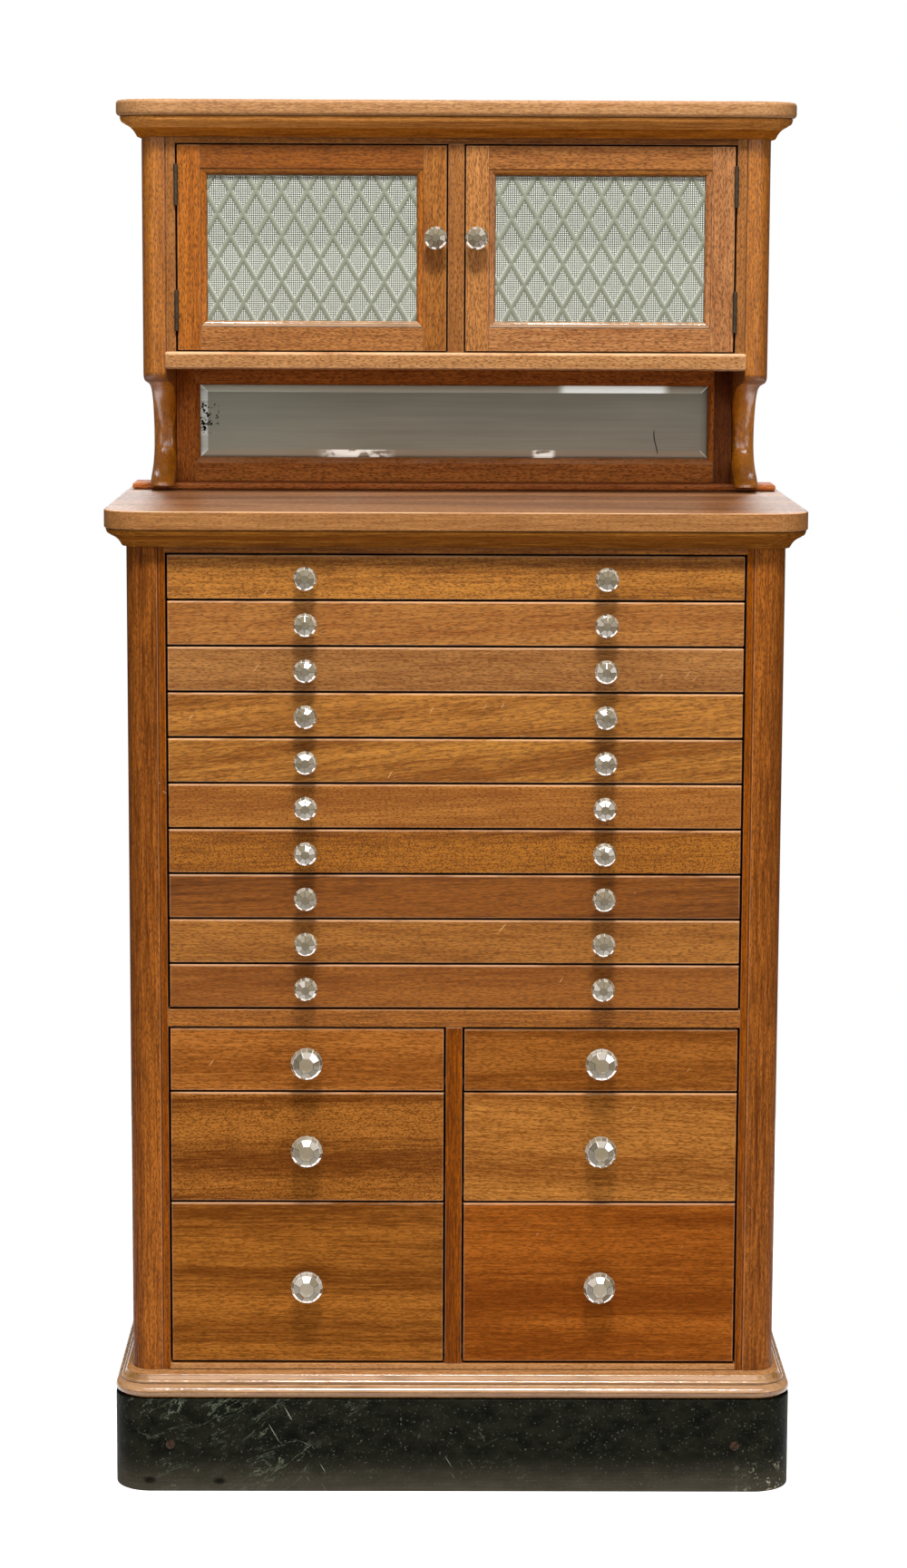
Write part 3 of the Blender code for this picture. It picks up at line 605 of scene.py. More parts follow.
# Painted shade: the darker band high in the cove of the moulding.
hollow_shade_wood = mahogany(
    "hollow_shade_wood", "x", 24.0, (0.170, 0.054, 0.008), (0.075, 0.021, 0.003), **moulding_finish)
worktop_face_wood = mahogany(
    "worktop_face_wood", "x", 22.0, (0.262, 0.114, 0.0457), (0.118, 0.0453, 0.0176), ribbon=1.4, pores=0.45,
    rough=0.26, gloss=0.35, bands=10.0)
bm = blank()
run_round(bm, rounded_edge(worktop_out, worktop_ease, worktop_under, worktop_thick), case_half, case_front)
for face in bm.faces:
    if face.normal.z > 0.97:
        face.material_index = 1
fitted(made_up("worktop_board", bm, [worktop_wood, worktop_face_wood]), "cabinet", "worktop")
bm = blank()
run_round(bm, moulding(top_low.z, worktop_moulding_high, worktop_moulding_out), case_half, case_front)
shade_hollow(bm, top_low.z, worktop_moulding_high, *worktop_hollow)
fitted(made_up("worktop_moulding", bm, [moulding_wood, hollow_shade_wood]), "cabinet")

# Trays and drawers: a mahogany front with eased edges on a box of thin pale boards, glued.
# Each front was cut from another board, so figure and tone differ from one to the next.
front_thick, front_back_set, front_ease = 0.018, 0.002, 0.0021
box_thick, box_ease = 0.009, 0.0010
box_bottom, box_bottom_ease = 0.005, 0.0003
box_drop, box_back_drop, box_rise = 0.004, 0.001, 0.0073
box_short = 0.028
box_back = case_back - box_short
drawer_face = case_front + front_back_set
tray_high, tray_half = 0.0495, 0.321
deep_half = 0.1551

box_wood = mahogany(
    "box_wood", "y", 31.0, (0.46, 0.27, 0.13), (0.31, 0.165, 0.072), pale=0.1, pores=0.35, rough=0.5)
box_across_wood = mahogany(
    "box_across_wood", "x", 33.0, (0.44, 0.26, 0.125), (0.30, 0.160, 0.070), pale=0.1, pores=0.35, rough=0.5)
# Darker than the fronts: partly end grain, partly painted shade in the gaps round the fronts.
end_grain_and_shade_wood = mahogany(
    "end_grain_and_shade_wood", "x", 35.0, (0.120, 0.042, 0.010), (0.060, 0.020, 0.005), ribbon=0.3, pale=0.1,
    rough=0.6)


def drawer(name, body, centre, half, half_box, level, high, figure, **sheen):
    """A front board on an open box of sides, back and bottom."""
    seed, light, dark, slant, ribbon, fleck = figure
    front_wood = mahogany(name + "_wood", "x", seed, light, dark, slant, ribbon,
                          pores=0.42 + fleck / 1500, fleck=fleck, **sheen)
    bm = blank()
    inner = drawer_face + front_thick
    floor, top = level + box_rise, level + high - box_drop
    board(bm, (centre - half, drawer_face, level), (centre + half, inner, level + high),
          front_ease, 0, 1.0, 3)
    # The front's lower and side bevels take the painted gap shade; its ends and underside the darker
    # end-grain wood.
    for part in bm.faces:
        if -0.85 < part.normal.y < 0.5 and part.normal.z < 0.3:
            part.material_index = 4 if abs(part.normal.y) < 0.02 else 3
    for side, _ in sides:
        board(bm, (centre + side * half_box, inner, floor),
              (centre + side * (half_box - box_thick), box_back, top), box_ease, 1)
    left, right = centre - half_box + box_thick, centre + half_box - box_thick
    board(bm, (left, box_back - box_thick, floor), (right, box_back, top - box_back_drop), box_ease, 2)
    board(bm, (left, inner, floor), (right, box_back - box_thick, floor + box_bottom),
          box_bottom_ease, 2, 0.0)
    looks = [front_wood, box_wood, box_across_wood, gap_shade, end_grain_and_shade_wood]
    fitted(made_up(name + "_joinery", bm, looks), body, name)


tray_figures = (
    (41.3, (0.309, 0.123, 0.0197), (0.138, 0.0445, 0.0059), 0.02, 0.83, 300.0),
    (43.1, (0.288, 0.121, 0.0264), (0.165, 0.0514, 0.0094), 0.05, 0.68, 150.0),
    (45.7, (0.275, 0.121, 0.032), (0.156, 0.0574, 0.0133), 0.00, 0.52, 170.0),
    (47.9, (0.29, 0.117, 0.0203), (0.14, 0.0453, 0.0059), 0.10, 0.98, 150.0),
    (49.2, (0.303, 0.126, 0.0205), (0.143, 0.0449, 0.0058), 0.12, 0.98, 150.0),
    (51.6, (0.297, 0.116, 0.0192), (0.17, 0.0539, 0.0077), 0.03, 0.90, 260.0),
    (53.8, (0.253, 0.0893, 0.0089), (0.108, 0.0283, 0.0025), 0.03, 0.60, 560.0),
    (55.4, (0.158, 0.0489, 0.0066), (0.0593, 0.0158, 0.0019), 0.04, 0.98, 130.0),
    (57.7, (0.26, 0.101, 0.0175), (0.143, 0.0472, 0.007), 0.00, 0.83, 170.0),
    (59.5, (0.196, 0.0656, 0.0098), (0.115, 0.0318, 0.0039), 0.02, 0.90, 150.0),
)
for number, figure in enumerate(tray_figures, 1):
    level = tray_first + (tray_count - number) * tray_step
    drawer(f"tray_{number:02d}", f"tray_{number:02d}_drawer", 0.0, tray_half, box_half, level, tray_high,
           figure)

deep_figures = {
    ("left", "upper"): (61.2, (0.269, 0.0938, 0.0175), (0.141, 0.0414, 0.0069), 0.0, 0.83, 180.0),
    ("left", "middle"): (63.9, (0.231, 0.0824, 0.0139), (0.0778, 0.0205, 0.0035), 0.02, 0.85, 420.0),
    ("left", "lower"): (65.3, (0.211, 0.0732, 0.0112), (0.0883, 0.0246, 0.0036), 0.0, 0.95, 180.0),
    ("right", "upper"): (67.1, (0.208, 0.0702, 0.0122), (0.107, 0.0302, 0.0047), 0.0, 0.83, 180.0),
    ("right", "middle"): (69.8, (0.298, 0.118, 0.0227), (0.136, 0.0429, 0.0078), -0.04, 0.62, 180.0),
    ("right", "lower"): (71.4, (0.214, 0.0604, 0.0078), (0.102, 0.023, 0.0027), 0.0, 1.10, 160.0),
}
for (word, row), figure in deep_figures.items():
    centre = deep_centre if word == "right" else -deep_centre
    drawer(f"{word}_drawer_{row}", f"{word}_drawer_{row}_box", centre, deep_half, deep_box_half,
           *deep_levels[row], figure, rough=0.45, gloss=0.0)

# Knobs: eight-sided cut glass with a flat table, on a bolt that runs through the board to a nut.
# Those of the trays stand on a corner, the others on a flat.
small_radius, small_reach, small_table = 0.01325, 0.026, 0.36
large_radius, large_reach, large_table = 0.01825, 0.033, 0.48
knob_rings = (
    (0.84, 0.84), (0.70, 0.98), (0.62, 1.00), (0.50, 0.97), (0.26, 0.58), (0.14, 0.56), (0.07, 0.64),
    (0.012, 0.62))
arris_share = 0.022
table_end, crown_end = 0.02, 0.14
bolt_radius, bolt_sunk = 0.0023, 0.97
nut_radius, nut_thick, nut_gap = 0.0050, 0.0030, 0.0003
tray_knob_x = 0.167
eighth = math.pi / 8

# Painted light: each face's brightness comes from the mesh, from a dark arris and an olive table to white
# highlights, and the brightest faces glow.
cut_glass, shader, point = finish("cut_glass", Transmission_Weight=0.35, IOR=1.52, Emission_Strength=0.55)
smear = cloud(point, 160.0, 3.0, 0.6)
facet = attribute(point, "facet")
colour = coated(
    blended(between(facet, 0.0, 0.2), (0.030, 0.024, 0.012), (0.215, 0.170, 0.104)),
    (between(facet, 0.2, 1.0), (0.88, 0.83, 0.78)), (0.12 * smear, (0.66, 0.62, 0.55)))
thrown_back = blended(between(facet, 0.80, 1.0), (0, 0, 0), (1.0, 0.99, 0.97))
lay_on(shader, Base_Color=colour, Emission_Color=thrown_back,
       Roughness=0.02 + 0.05 * between(smear, 0.55, 0.75), Normal=bumped(smear, 0.01, 0.00005))
plated_steel, shader, point = finish("plated_steel", Metallic=1.0)
dull = cloud(point, 300.0, 3.0, 0.6)
lay_on(shader, Base_Color=blended(dull, (0.40, 0.36, 0.28), (0.62, 0.58, 0.48)),
       Roughness=0.25 + 0.3 * dull, Normal=bumped(dull, 0.1, 0.0002))


def knob(node, body, across, face, level, board_thick, turn, large=False):
    """The glass, drawn out ring by ring from its table, and the bolt and nut that hold it."""
    radius, reach, size = ((large_radius, large_reach, large_table) if large
                           else (small_radius, small_reach, small_table))
    bm = blank()
    facet = bm.faces.layers.float.new("facet")
    bmesh.ops.create_circle(bm, cap_ends=True, segments=8, radius=size * radius)
    rim = bm.edges[:]
    before = 1.0
    for along, share in knob_rings:
        rim = drawn(bm, rim, (0, 0, (before - along) * reach))
        if before == 1.0:
            bmesh.ops.subdivide_edges(bm, edges=rim, cuts=1)
            rim = [edge for edge in bm.edges if edge.is_boundary]
            for vert in {vert for edge in rim for vert in edge.verts}:
                vert.co.xy = vert.co.xy.normalized() * size * radius
        ring = list({vert for edge in rim for vert in edge.verts})
        bmesh.ops.scale(bm, vec=(share / size, share / size, 1.0), verts=ring)
        before, size = along, share
    bmesh.ops.edgeloop_fill(bm, edges=rim)
    faced_out(bm)
    arrises = set(bevelled(bm, bm.edges, arris_share * radius, 1))
    depth = {part: part.calc_center_median().z / reach for part in bm.faces}
    lit = 1.45 + 0.5 * math.sin(40.0 * across + 9.0 * level) + turn
    toward = Vector((math.cos(lit), -math.sin(lit)))
    crown = sorted((part for part in bm.faces
                    if table_end < depth[part] < crown_end and part not in arrises),
                   key=lambda part: -part.calc_center_median().to_2d().dot(toward))
    glass = bm.faces[:]
    nut = reach + board_thick + nut_gap
    for low, high, size, edges in ((reach * bolt_sunk, reach + board_thick, bolt_radius, 12),
                                   (nut, nut + nut_thick, nut_radius, 6)):
        made = bmesh.ops.create_cone(
            bm, cap_ends=True, segments=edges, radius1=size, radius2=size, depth=high - low,
            matrix=Matrix.Translation((0, 0, (low + high) / 2)))["verts"]
        for part in {part for vert in made for part in vert.link_faces}:
            part.material_index = 1
    stand = Matrix.Translation((across, face - reach, level)) @ Matrix.Rotation(-math.pi / 2, 4, "X")
    bmesh.ops.transform(bm, matrix=stand @ Matrix.Rotation(turn, 4, "Z"), verts=bm.verts)
    faced_out(bm)
    # Paints each face's light and shade: crown faces towards one side as highlights, the table's lower arris
    # dark, the lower rim bright, and sparkle at random.
    for part in glass:
        middle = part.calc_center_median()
        height = (middle.z - level) / radius
        sparkle = 0.5 + 0.5 * math.sin(900.0 * middle.x + 400.0 * middle.z + 3.0 * turn)
        if large and part in crown[:2]:
            part[facet] = (0.95, 0.50)[crown.index(part)]
        elif part in crown and not large:
            part[facet] = 0.15 + 0.40 * (crown.index(part) // 2 % 2) * sparkle
        elif depth[part] < table_end:
            shaded = part in arrises and height < 0.05
            part[facet] = 0.02 if shaded else 0.19 if large else 0.11
        elif depth[part] < crown_end:
            from_below = 0.30 if height < -0.5 else 0.0
            part[facet] = 0.04 if part in arrises else 0.08 + 0.11 * sparkle + from_below
        elif height < -0.30:
            part[facet] = 0.35 + 0.65 * round(sparkle + 0.3)
        elif part in arrises:
            part[facet] = 0.12 + 0.62 * sparkle
        else:
            part[facet] = 0.06 + 0.4 * sparkle
    fitted(made_up(node + "_glass", bm, [cut_glass, plated_steel], crease=None), body, node)


for number in range(1, tray_count + 1):
    level = tray_first + (tray_count - number) * tray_step + tray_high / 2
    for side, word in sides:
        knob(f"tray_{number:02d}_{word}_knob", f"tray_{number:02d}_drawer", side * tray_knob_x, drawer_face,
             level, front_thick, 0.06 * math.sin(7.0 * number + side))
for row, (level, high) in deep_levels.items():
    for side, word in sides:
        knob(f"{word}_drawer_{row}_knob", f"{word}_drawer_{row}_box", side * deep_centre, drawer_face,
             level + high / 2, front_thick, eighth + 0.05 * math.sin(5.0 * level + side), large=True)

# Foot strip and brackets: a low board on the worktop carries two scrolled brackets, sawn in an S
# and rounded by hand, which run on upwards as the cupboard's sides.
upper_low, upper_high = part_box("upper_case")
counter_deep = 0.206
upper_front = case_front + counter_deep
upper_half = 0.362
niche_low, sill_low, sill_top = 1.1286, 1.2684, 1.2884
foot_half, foot_deep, foot_ease = 0.3855, 0.055, 0.0030
bracket_inner = 0.334
bracket_gap = 0.0005
bracket_back = case_back - bracket_gap
bracket_line = (
    (0.000, 0.000), (0.006, 0.001), (0.011, 0.007), (0.015, 0.026), (0.018, 0.060), (0.0215, 0.094),
    (0.027, 0.121), (0.036, 0.141), (0.049, 0.157), (0.070, 0.169), (0.090, 0.172), (0.104, 0.168),
    (0.116, 0.156), (0.125, 0.138), (0.1315, 0.120), (0.137, 0.1115), (0.1415, 0.109),
)
nose_high = 0.0165
bracket_round, bracket_inner_round, bracket_inner_ease = 0.013, 0.010, 0.002
bracket_turn_in = 0.050
bracket_steps = 4

bracket_wood = mahogany(
    "bracket_wood", "z", 81.0, (0.343, 0.117, 0.0105), (0.17, 0.0466, 0.0034), pale=0.25, rough=0.28,
    gloss=0.35)
scroll_wood = mahogany(
    "scroll_wood", "z", 82.0, (0.603, 0.206, 0.0083), (0.296, 0.0807, 0.0024), pale=0.2, rough=0.14,
    gloss=1.0, relief=0.15)
foot_wood = mahogany(
    "foot_wood", "x", 83.0, (0.608, 0.172, 0.0397), (0.326, 0.0795, 0.0132), pale=0.15, gloss=0.04)


def quarter(steps):
    """The angles of a quarter turn."""
    return [math.pi / 2 * step / steps for step in range(steps + 1)]


def bracket_ring(down, back, side):
    """The bracket's outline at a level below the sill: inner back, inner front, round, outer back."""
    level = sill_low - down
    turned_in = min(down / bracket_turn_in, 1.0)
    radius = post_round + (bracket_round - post_round) * turned_in
    inner_radius = bracket_inner_ease + (bracket_inner_round - bracket_inner_ease) * turned_in
    front = upper_front + back
    ring = [(side * bracket_inner, bracket_back, level)]
    for turn in quarter(6):
        ring.append((side * (bracket_inner + inner_radius - inner_radius * math.cos(turn)),
                     front + inner_radius - inner_radius * math.sin(turn), level))
    for turn in quarter(8):
        ring.append((side * (upper_half - radius + radius * math.sin(turn)),
                     front + radius - radius * math.cos(turn), level))
    ring.append((side * upper_half, bracket_back, level))
    return ring


def carried(bm, ring, rim, spots):
    """Extrudes a closed ring and lays its new points on the given spots, in order."""
    fresh, rim = extruded(bm, rim)
    fresh = set(fresh)
    ring = [next(edge.other_vert(vert) for edge in vert.link_edges if edge.other_vert(vert) in fresh)
            for vert in ring]
    for vert, spot in zip(ring, spots):
        vert.co = spot
    return ring, rim


stations = [Vector(station) for station in bracket_line]
ends = [2 * stations[0] - stations[1], *stations, 2 * stations[-1] - stations[-2]]
curve = []
for before, first, last, after in zip(ends, ends[1:], ends[2:], ends[3:]):
    handles = first + (last - before) / 6, last - (after - first) / 6
    curve += interpolate_bezier(first, *handles, last, bracket_steps + 1)[:-1]
curve.append(stations[-1])
for side, word in sides:
    bm = blank()
    ring = [bm.verts.new(spot) for spot in bracket_ring(*curve[0], side)]
    top_rim = rim = [bm.edges.new(pair) for pair in zip(ring, ring[1:] + ring[:1])]
    for station in curve[1:]:
        ring, rim = carried(bm, ring, rim, bracket_ring(*station, side))
    bmesh.ops.edgeloop_fill(bm, edges=top_rim)
    bmesh.ops.edgeloop_fill(bm, edges=rim)
    faced_out(bm)
    for face in bm.faces:
        face.material_index = int(face.calc_center_median().z > sill_low - nose_high)
    fitted(made_up(f"{word}_bracket", bm, [scroll_wood, bracket_wood], crease=60), "cabinet")
bm = blank()
board(bm, (-foot_half, case_back - foot_deep, upper_low.z), (foot_half, case_back, niche_low), foot_ease,
      0, 1.0, 3)
fitted(made_up("foot_strip", bm, [foot_wood]), "cabinet")

# Cupboard carcass: round-edged posts with their sides, narrow strips, sill, mullion and top rail in
# front, a shelf inside and planks behind. It is mahogany outside and pale wood inside, glued.
upper_strip, upper_strip_ease = 0.0102, 0.0007
upper_frame_deep = 0.024
upper_side_thick, upper_side_ease = 0.018, 0.0004
sill_proud, sill_half, sill_deep, sill_ease = 0.003, 0.336, 0.030, 0.0036
floor_drop, floor_ease = 0.0005, 0.0006
rail_low, upper_rail_ease = 1.5257, 0.0006
crown_rise = 0.0024
crown_low = upper_high.z + crown_rise
mullion_half, mullion_ease = 0.0093, 0.0008
shelf_low, shelf_high, shelf_ease = 1.4064, 1.4164, 0.0015
shelf_set_back = 0.257
shelf_front = case_front + shelf_set_back
frame_back = upper_front + upper_frame_deep

upper_strip_wood = mahogany("upper_strip_wood", "z", 87.0, (0.262, 0.103, 0.0252), (0.158, 0.0516, 0.011))
sill_wood = mahogany(
    "sill_wood", "x", 91.0, (0.364, 0.179, 0.0648), (0.248, 0.104, 0.032), ribbon=0.35, pale=0.6)
bm = blank()
for side, _ in sides:
    front_edge(bm, side, upper_half, upper_front, sill_top, sill_low, crown_low, upper_strip,
               upper_frame_deep, upper_frame_deep, upper_strip_ease)
    board(bm, (side * (upper_half - upper_side_thick), frame_back, sill_low),
          (side * upper_half, case_back, crown_low), upper_side_ease, 0, 0.0)
board(bm, (-mullion_half, upper_front, sill_top), (mullion_half, frame_back, rail_low), mullion_ease, 1)
board(bm, (-opening_half, upper_front + rail_set_back, rail_low), (opening_half, frame_back, crown_low),
      upper_rail_ease, 2)
board(bm, (-sill_half, upper_front - sill_proud, sill_low), (sill_half, upper_front + sill_deep, sill_top),
      sill_ease, 3, 1.0, 5)
fitted(made_up("cupboard_carcass", bm, [bracket_wood, upper_strip_wood, rail_wood, sill_wood]),
       "cabinet", "upper_case")

bm = blank()
upper_inside = upper_half - upper_side_thick
planked(bm, upper_inside, niche_low, crown_low)
board(bm, (-upper_inside, upper_front + sill_deep, sill_low + floor_drop),
      (upper_inside, inside_back, sill_top), floor_ease, 1, 0.3)
board(bm, (-upper_inside, shelf_front, shelf_low), (upper_inside, inside_back, shelf_high),
      shelf_ease, 1, 0.6)
fitted(made_up("cupboard_inside", bm, [plank_wood, box_across_wood]), "cabinet")

# Mirror frame: dark mahogany stiles and rails at the back of the niche, with a sloped inner lip
# mitred round the plate. The right-hand stile is painted darkest, as shade.
frame_low, frame_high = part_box("mirror_frame")
plate_low, plate_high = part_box("mirror_glass")
mirror_half, mirror_low, mirror_top = 0.306, 1.1576, 1.2444
mirror_frame_ease = 0.0008
lip_wide, lip_sink, lip_gap = 0.006, 0.0003, 0.0002
lip_half, lip_low, lip_top = mirror_half + lip_wide, mirror_low - lip_wide, mirror_top + lip_wide
lip_front, lip_back = frame_low.y + lip_sink, plate_low.y - lip_gap
lip_step_wide, lip_step_deep, lip_deep = 0.003, 0.0012, 0.006
lip_section = ((0.0, lip_front), (lip_step_wide, lip_front + lip_step_deep), (lip_wide, lip_front + lip_deep),
               (lip_wide, lip_back), (0.0, lip_back))
dark_wood = mahogany("dark_wood", "x", 95.0, (0.538, 0.177, 0.0305), (0.277, 0.0759, 0.0117), pale=0.3)
dark_upright_wood = mahogany(
    "dark_upright_wood", "z", 97.0, (0.514, 0.148, 0.0172), (0.248, 0.0615, 0.0063), pale=0.3)
# Painted shade: the right-hand stile darker than the left.
right_stile_shade_wood = mahogany(
    "right_stile_shade_wood", "z", 98.0, (0.180, 0.048, 0.0056), (0.086, 0.0190, 0.0020), pale=0.3)


def mitred_lip(bm, x0, x1, z0, z1, section, look_under, look_upright, look_over):
    """A moulding mitred round an opening, from a closed section of (inwards, front to back)."""
    def spots(inwards, deep):
        return ((x0 + inwards, deep, z0 + inwards), (x1 - inwards, deep, z0 + inwards),
                (x1 - inwards, deep, z1 - inwards), (x0 + inwards, deep, z1 - inwards))

    ring = [bm.verts.new(spot) for spot in spots(*section[0])]
    first = rim = [bm.edges.new(pair) for pair in zip(ring, ring[1:] + ring[:1])]
    before = set(bm.faces)
    for station in section[1:]:
        ring, rim = carried(bm, ring, rim, spots(*station))
    bmesh.ops.bridge_loops(bm, edges=first + rim)
    wear_and_highlight = bm.faces.layers.float["wear_and_highlight"]
    for part in set(bm.faces) - before:
        middle = part.calc_center_median()
        flat = min(abs(middle.z - z0), abs(middle.z - z1)) < min(abs(middle.x - x0), abs(middle.x - x1))
        under = middle.z < (z0 + z1) / 2
        part.material_index = (look_under if under else look_over) if flat else look_upright
        # The lower slope, which faces upwards, is marked pale: partly worn, partly a painted highlight.
        part[wear_and_highlight] = 0.7 if flat and under else 0.0
    faced_out(bm)


bm = blank()
for side, _ in sides:
    board(bm, (side * lip_half, frame_low.y, frame_low.z), (side * frame_high.x, frame_high.y, frame_high.z),
          mirror_frame_ease, 2 if side > 0 else 1)
for low, high in ((frame_low.z, lip_low), (lip_top, frame_high.z)):
    board(bm, (-lip_half, frame_low.y, low), (lip_half, frame_high.y, high), mirror_frame_ease, 0)
mitred_lip(bm, -lip_half, lip_half, lip_low, lip_top, lip_section, 0, 1, 0)
fitted(made_up("mirror_surround", bm, [dark_wood, dark_upright_wood, right_stile_shade_wood]),
       "cabinet", "mirror_frame")

# Mirror: a silvered plate with a wide ground bevel. The silver has gone grey, with black spots
# where damp got in at the left edge and one dark scratch on the right.
bevel_wide, bevel_deep = 0.0145, 0.0010
damp_level = 1.205
scratch_x, scratch_level = 0.235, 1.177
top_bevel, foot_bevel = (1.2290, 1.2300), (1.1720, 1.1730)
top_glint_x, left_glint_x, right_glint_x = 0.192, -0.118, 0.108


def silver(name, light, dark, spots, glints):
    """Old silvering, with damp spots and a scratch, a painted paler reflection on the left and, on the bevel,
    painted glints of a bright room that glow.
    """
    made, shader, point = finish(name, Metallic=1.0, Emission_Strength=0.30)
    haze = cloud(stretched(point, (1.0, 1.0, 4.0)), 6.0, 3.0, 0.55)
    wiped = cloud(stretched(point, (4.0, 4.0, 150.0)), 1.0, 3.0, 0.7)
    across, level = axis_of(point, 0), axis_of(point, 2)

    def near(place, value, inner, outer):
        return 1 - between(abs(value - place), inner, outer)

    near_left = 1 - between(across, -mirror_half + 0.004, -mirror_half + 0.030)
    damp = near_left * near(damp_level, level, 0.008, 0.026) * spots
    spotted = between(cloud(point, 300.0, 2.0, 0.6) + 0.14 * damp, 0.65, 0.68) * between(damp, 0.05, 0.15)
    from_side = mirror_half - abs(across)
    from_ends = (mirror_top - mirror_low) / 2 - abs(level - (mirror_top + mirror_low) / 2)
    mitre = near(from_ends, from_side, 0.0003, 0.0011)
    bent = across - scratch_x - 0.02 * cloud(point, 30.0, 1.0)
    line = (1 - between(abs(bent), 0.0005, 0.0013)) * near(scratch_level, level, 0.010, 0.017)
    on_top = between(level, *top_bevel) * near(top_glint_x, across, 0.055, 0.070)
    off_left = between(abs(across - left_glint_x), 0.022, 0.050)
    off_right = between(abs(across - right_glint_x), 0.008, 0.016)
    at_foot = (1 - between(level, *foot_bevel)) * (1 - off_left * off_right)
    broken = between(cloud(stretched(point, (30.0, 30.0, 60.0)), 2.0, 2.0), 0.38, 0.52)
    near_side = between(from_ends - from_side, 0.0, 0.0003) * (1 - between(across, -0.2, 0.2))
    # Painted reflection: glints on the bevel's top, foot, left side and mitres, which also glow through the
    # emission.
    glint = 0.8 * on_top + broken * at_foot + 0.85 * wiped * near_side + 0.4 * mitre
    glint = glints * glint * (1 - spotted)
    # The pale greenish coat towards the left is a painted reflection.
    colour = coated(
        blended(0.35 * haze + 0.65 * wiped, dark, light),
        (0.35 * between(-1 * across, 0.08, 0.28), (0.47, 0.51, 0.42)), (glint, (1.0, 1.0, 0.96)),
        (spotted, (0.006, 0.006, 0.005)), (line, (0.010, 0.009, 0.007)))
    room = blended(glint, (0, 0, 0), (0.92, 1.0, 0.93))
    lay_on(shader, Base_Color=colour, Emission_Color=room, Roughness=0.26 + 0.04 * haze + 0.3 * spotted,
           Normal=bumped(haze, 0.002, 0.001))
    return made


silver_flat = silver("silver_flat", (0.49, 0.455, 0.365), (0.245, 0.225, 0.176), 0.9, 0.0)
silver_bevel = silver("silver_bevel", (0.46, 0.42, 0.335), (0.30, 0.27, 0.21), 1.0, 1.0)
bm = blank()
block(bm, (plate_low.x, plate_low.y + bevel_deep, plate_low.z), plate_high, 0)
front = min(bm.faces, key=lambda part: part.calc_center_median().y)
bmesh.ops.inset_region(bm, faces=[front], thickness=plate_high.x - mirror_half, depth=0.0)
for part in bmesh.ops.inset_region(bm, faces=[front], thickness=bevel_wide, depth=bevel_deep)["faces"]:
    part.material_index = 1
faced_out(bm)
fitted(made_up("mirror_plate", bm, [silver_flat, silver_bevel], crease=None),
       "cabinet", "mirror_glass")

# Doors: stiles and rails with a sloped inner edge round a pane of pressed glass, rolled with a
# lattice of ribs over a fine grid of points. Each hangs on two dark hinges.
door_flat = 0.0265
stile_ease, door_rail_ease = 0.0009, 0.0005
slope_wide, slope_deep, slope_sink = 0.0075, 0.006, 0.0003
slope_fillet, slope_quirk, slope_start, slope_lift = 0.0012, 0.0008, 0.0010, 0.0009
door_knob_x, door_knob_level = 0.0235, 1.4192
door_parts = (("stile", "z"), ("meeting_stile", "z"), ("rail", "x"), ("top_rail", "x"))
# The fourth look of each door, its top rail, is painted darker, as the crown's shadow.
door_looks = {
    "left": ((101.0, (0.331, 0.106, 0.0118), (0.192, 0.0504, 0.0053)),
             (102.0, (0.305, 0.117, 0.0208), (0.177, 0.0556, 0.00928)),
             (103.0, (0.314, 0.128, 0.0351), (0.173, 0.0568, 0.0132)),
             (104.0, (0.192, 0.0581, 0.0065), (0.107, 0.0258, 0.0023))),
    "right": ((105.0, (0.355, 0.161, 0.0572), (0.215, 0.0787, 0.0262)),
              (106.0, (0.377, 0.164, 0.0448), (0.228, 0.0798, 0.0205)),
              (107.0, (0.411, 0.191, 0.066), (0.221, 0.0814, 0.0247)),
              (108.0, (0.283, 0.111, 0.0262), (0.151, 0.0479, 0.0097))),
}
# Painted shade: a darker wood for the downward-facing top slope round each pane.
top_slope_shade_wood = mahogany("top_slope_shade_wood", "x", 109.0, (0.235, 0.086, 0.0150), (0.115, 0.036, 0.0050))
rib_across, rib_tall, rib_half = 0.0295, 0.0512, 0.0033
rib_rise, point_rise = 0.0008, 0.0004
points_across, points_up = 105, 74
lattice_shift = {"left": (-0.0055, 0.0142), "right": (0.0016, 0.0094)}
rib_share = rib_half * math.hypot(1 / rib_across, 1 / rib_tall)
knuckles, knuckle_radius, knuckle_ease = 5, 0.0025, 0.0003
pin_out, pin_set_back = 0.3213, 0.2034
pin_y = case_front + pin_set_back
leaf_gap, leaf_thick, leaf_ease = 0.0003, 0.0012, 0.0002

pressed_glass, shader, point = finish(
    "pressed_glass", Transmission_Weight=0.30, IOR=1.48, Specular_IOR_Level=0.5)
haze = cloud(point, 26.0, 3.0, 0.6)
first, second, height = (axis_of(attribute(point, "lattice", 1), axis) for axis in range(3))
column, row = (axis_of(attribute(point, "points", 1), axis) for axis in range(2))
past_first = first - first.worked("ROUND", first)
past_second = second.worked("ROUND", second) - second
nearer = first.worked("LESS_THAN", abs(past_first), abs(past_second))
above = past_first * nearer + past_second * (1 - nearer)
rib = 1 - between(abs(above), 0.80 * rib_share, 1.05 * rib_share)
# Painted light: each rib's upper edge is a painted highlight, its lower edge painted shade.
rib_highlight, rib_shade = (
    between(past, 0.40 * rib_share, 0.75 * rib_share)
    * (1 - between(past, 0.85 * rib_share, 1.15 * rib_share))
    for past in (above, -1 * above))
dots_across, dots_up = (
    0.5 + 0.5 * count.worked("COSINE", 2 * math.pi * count) for count in (column, row))
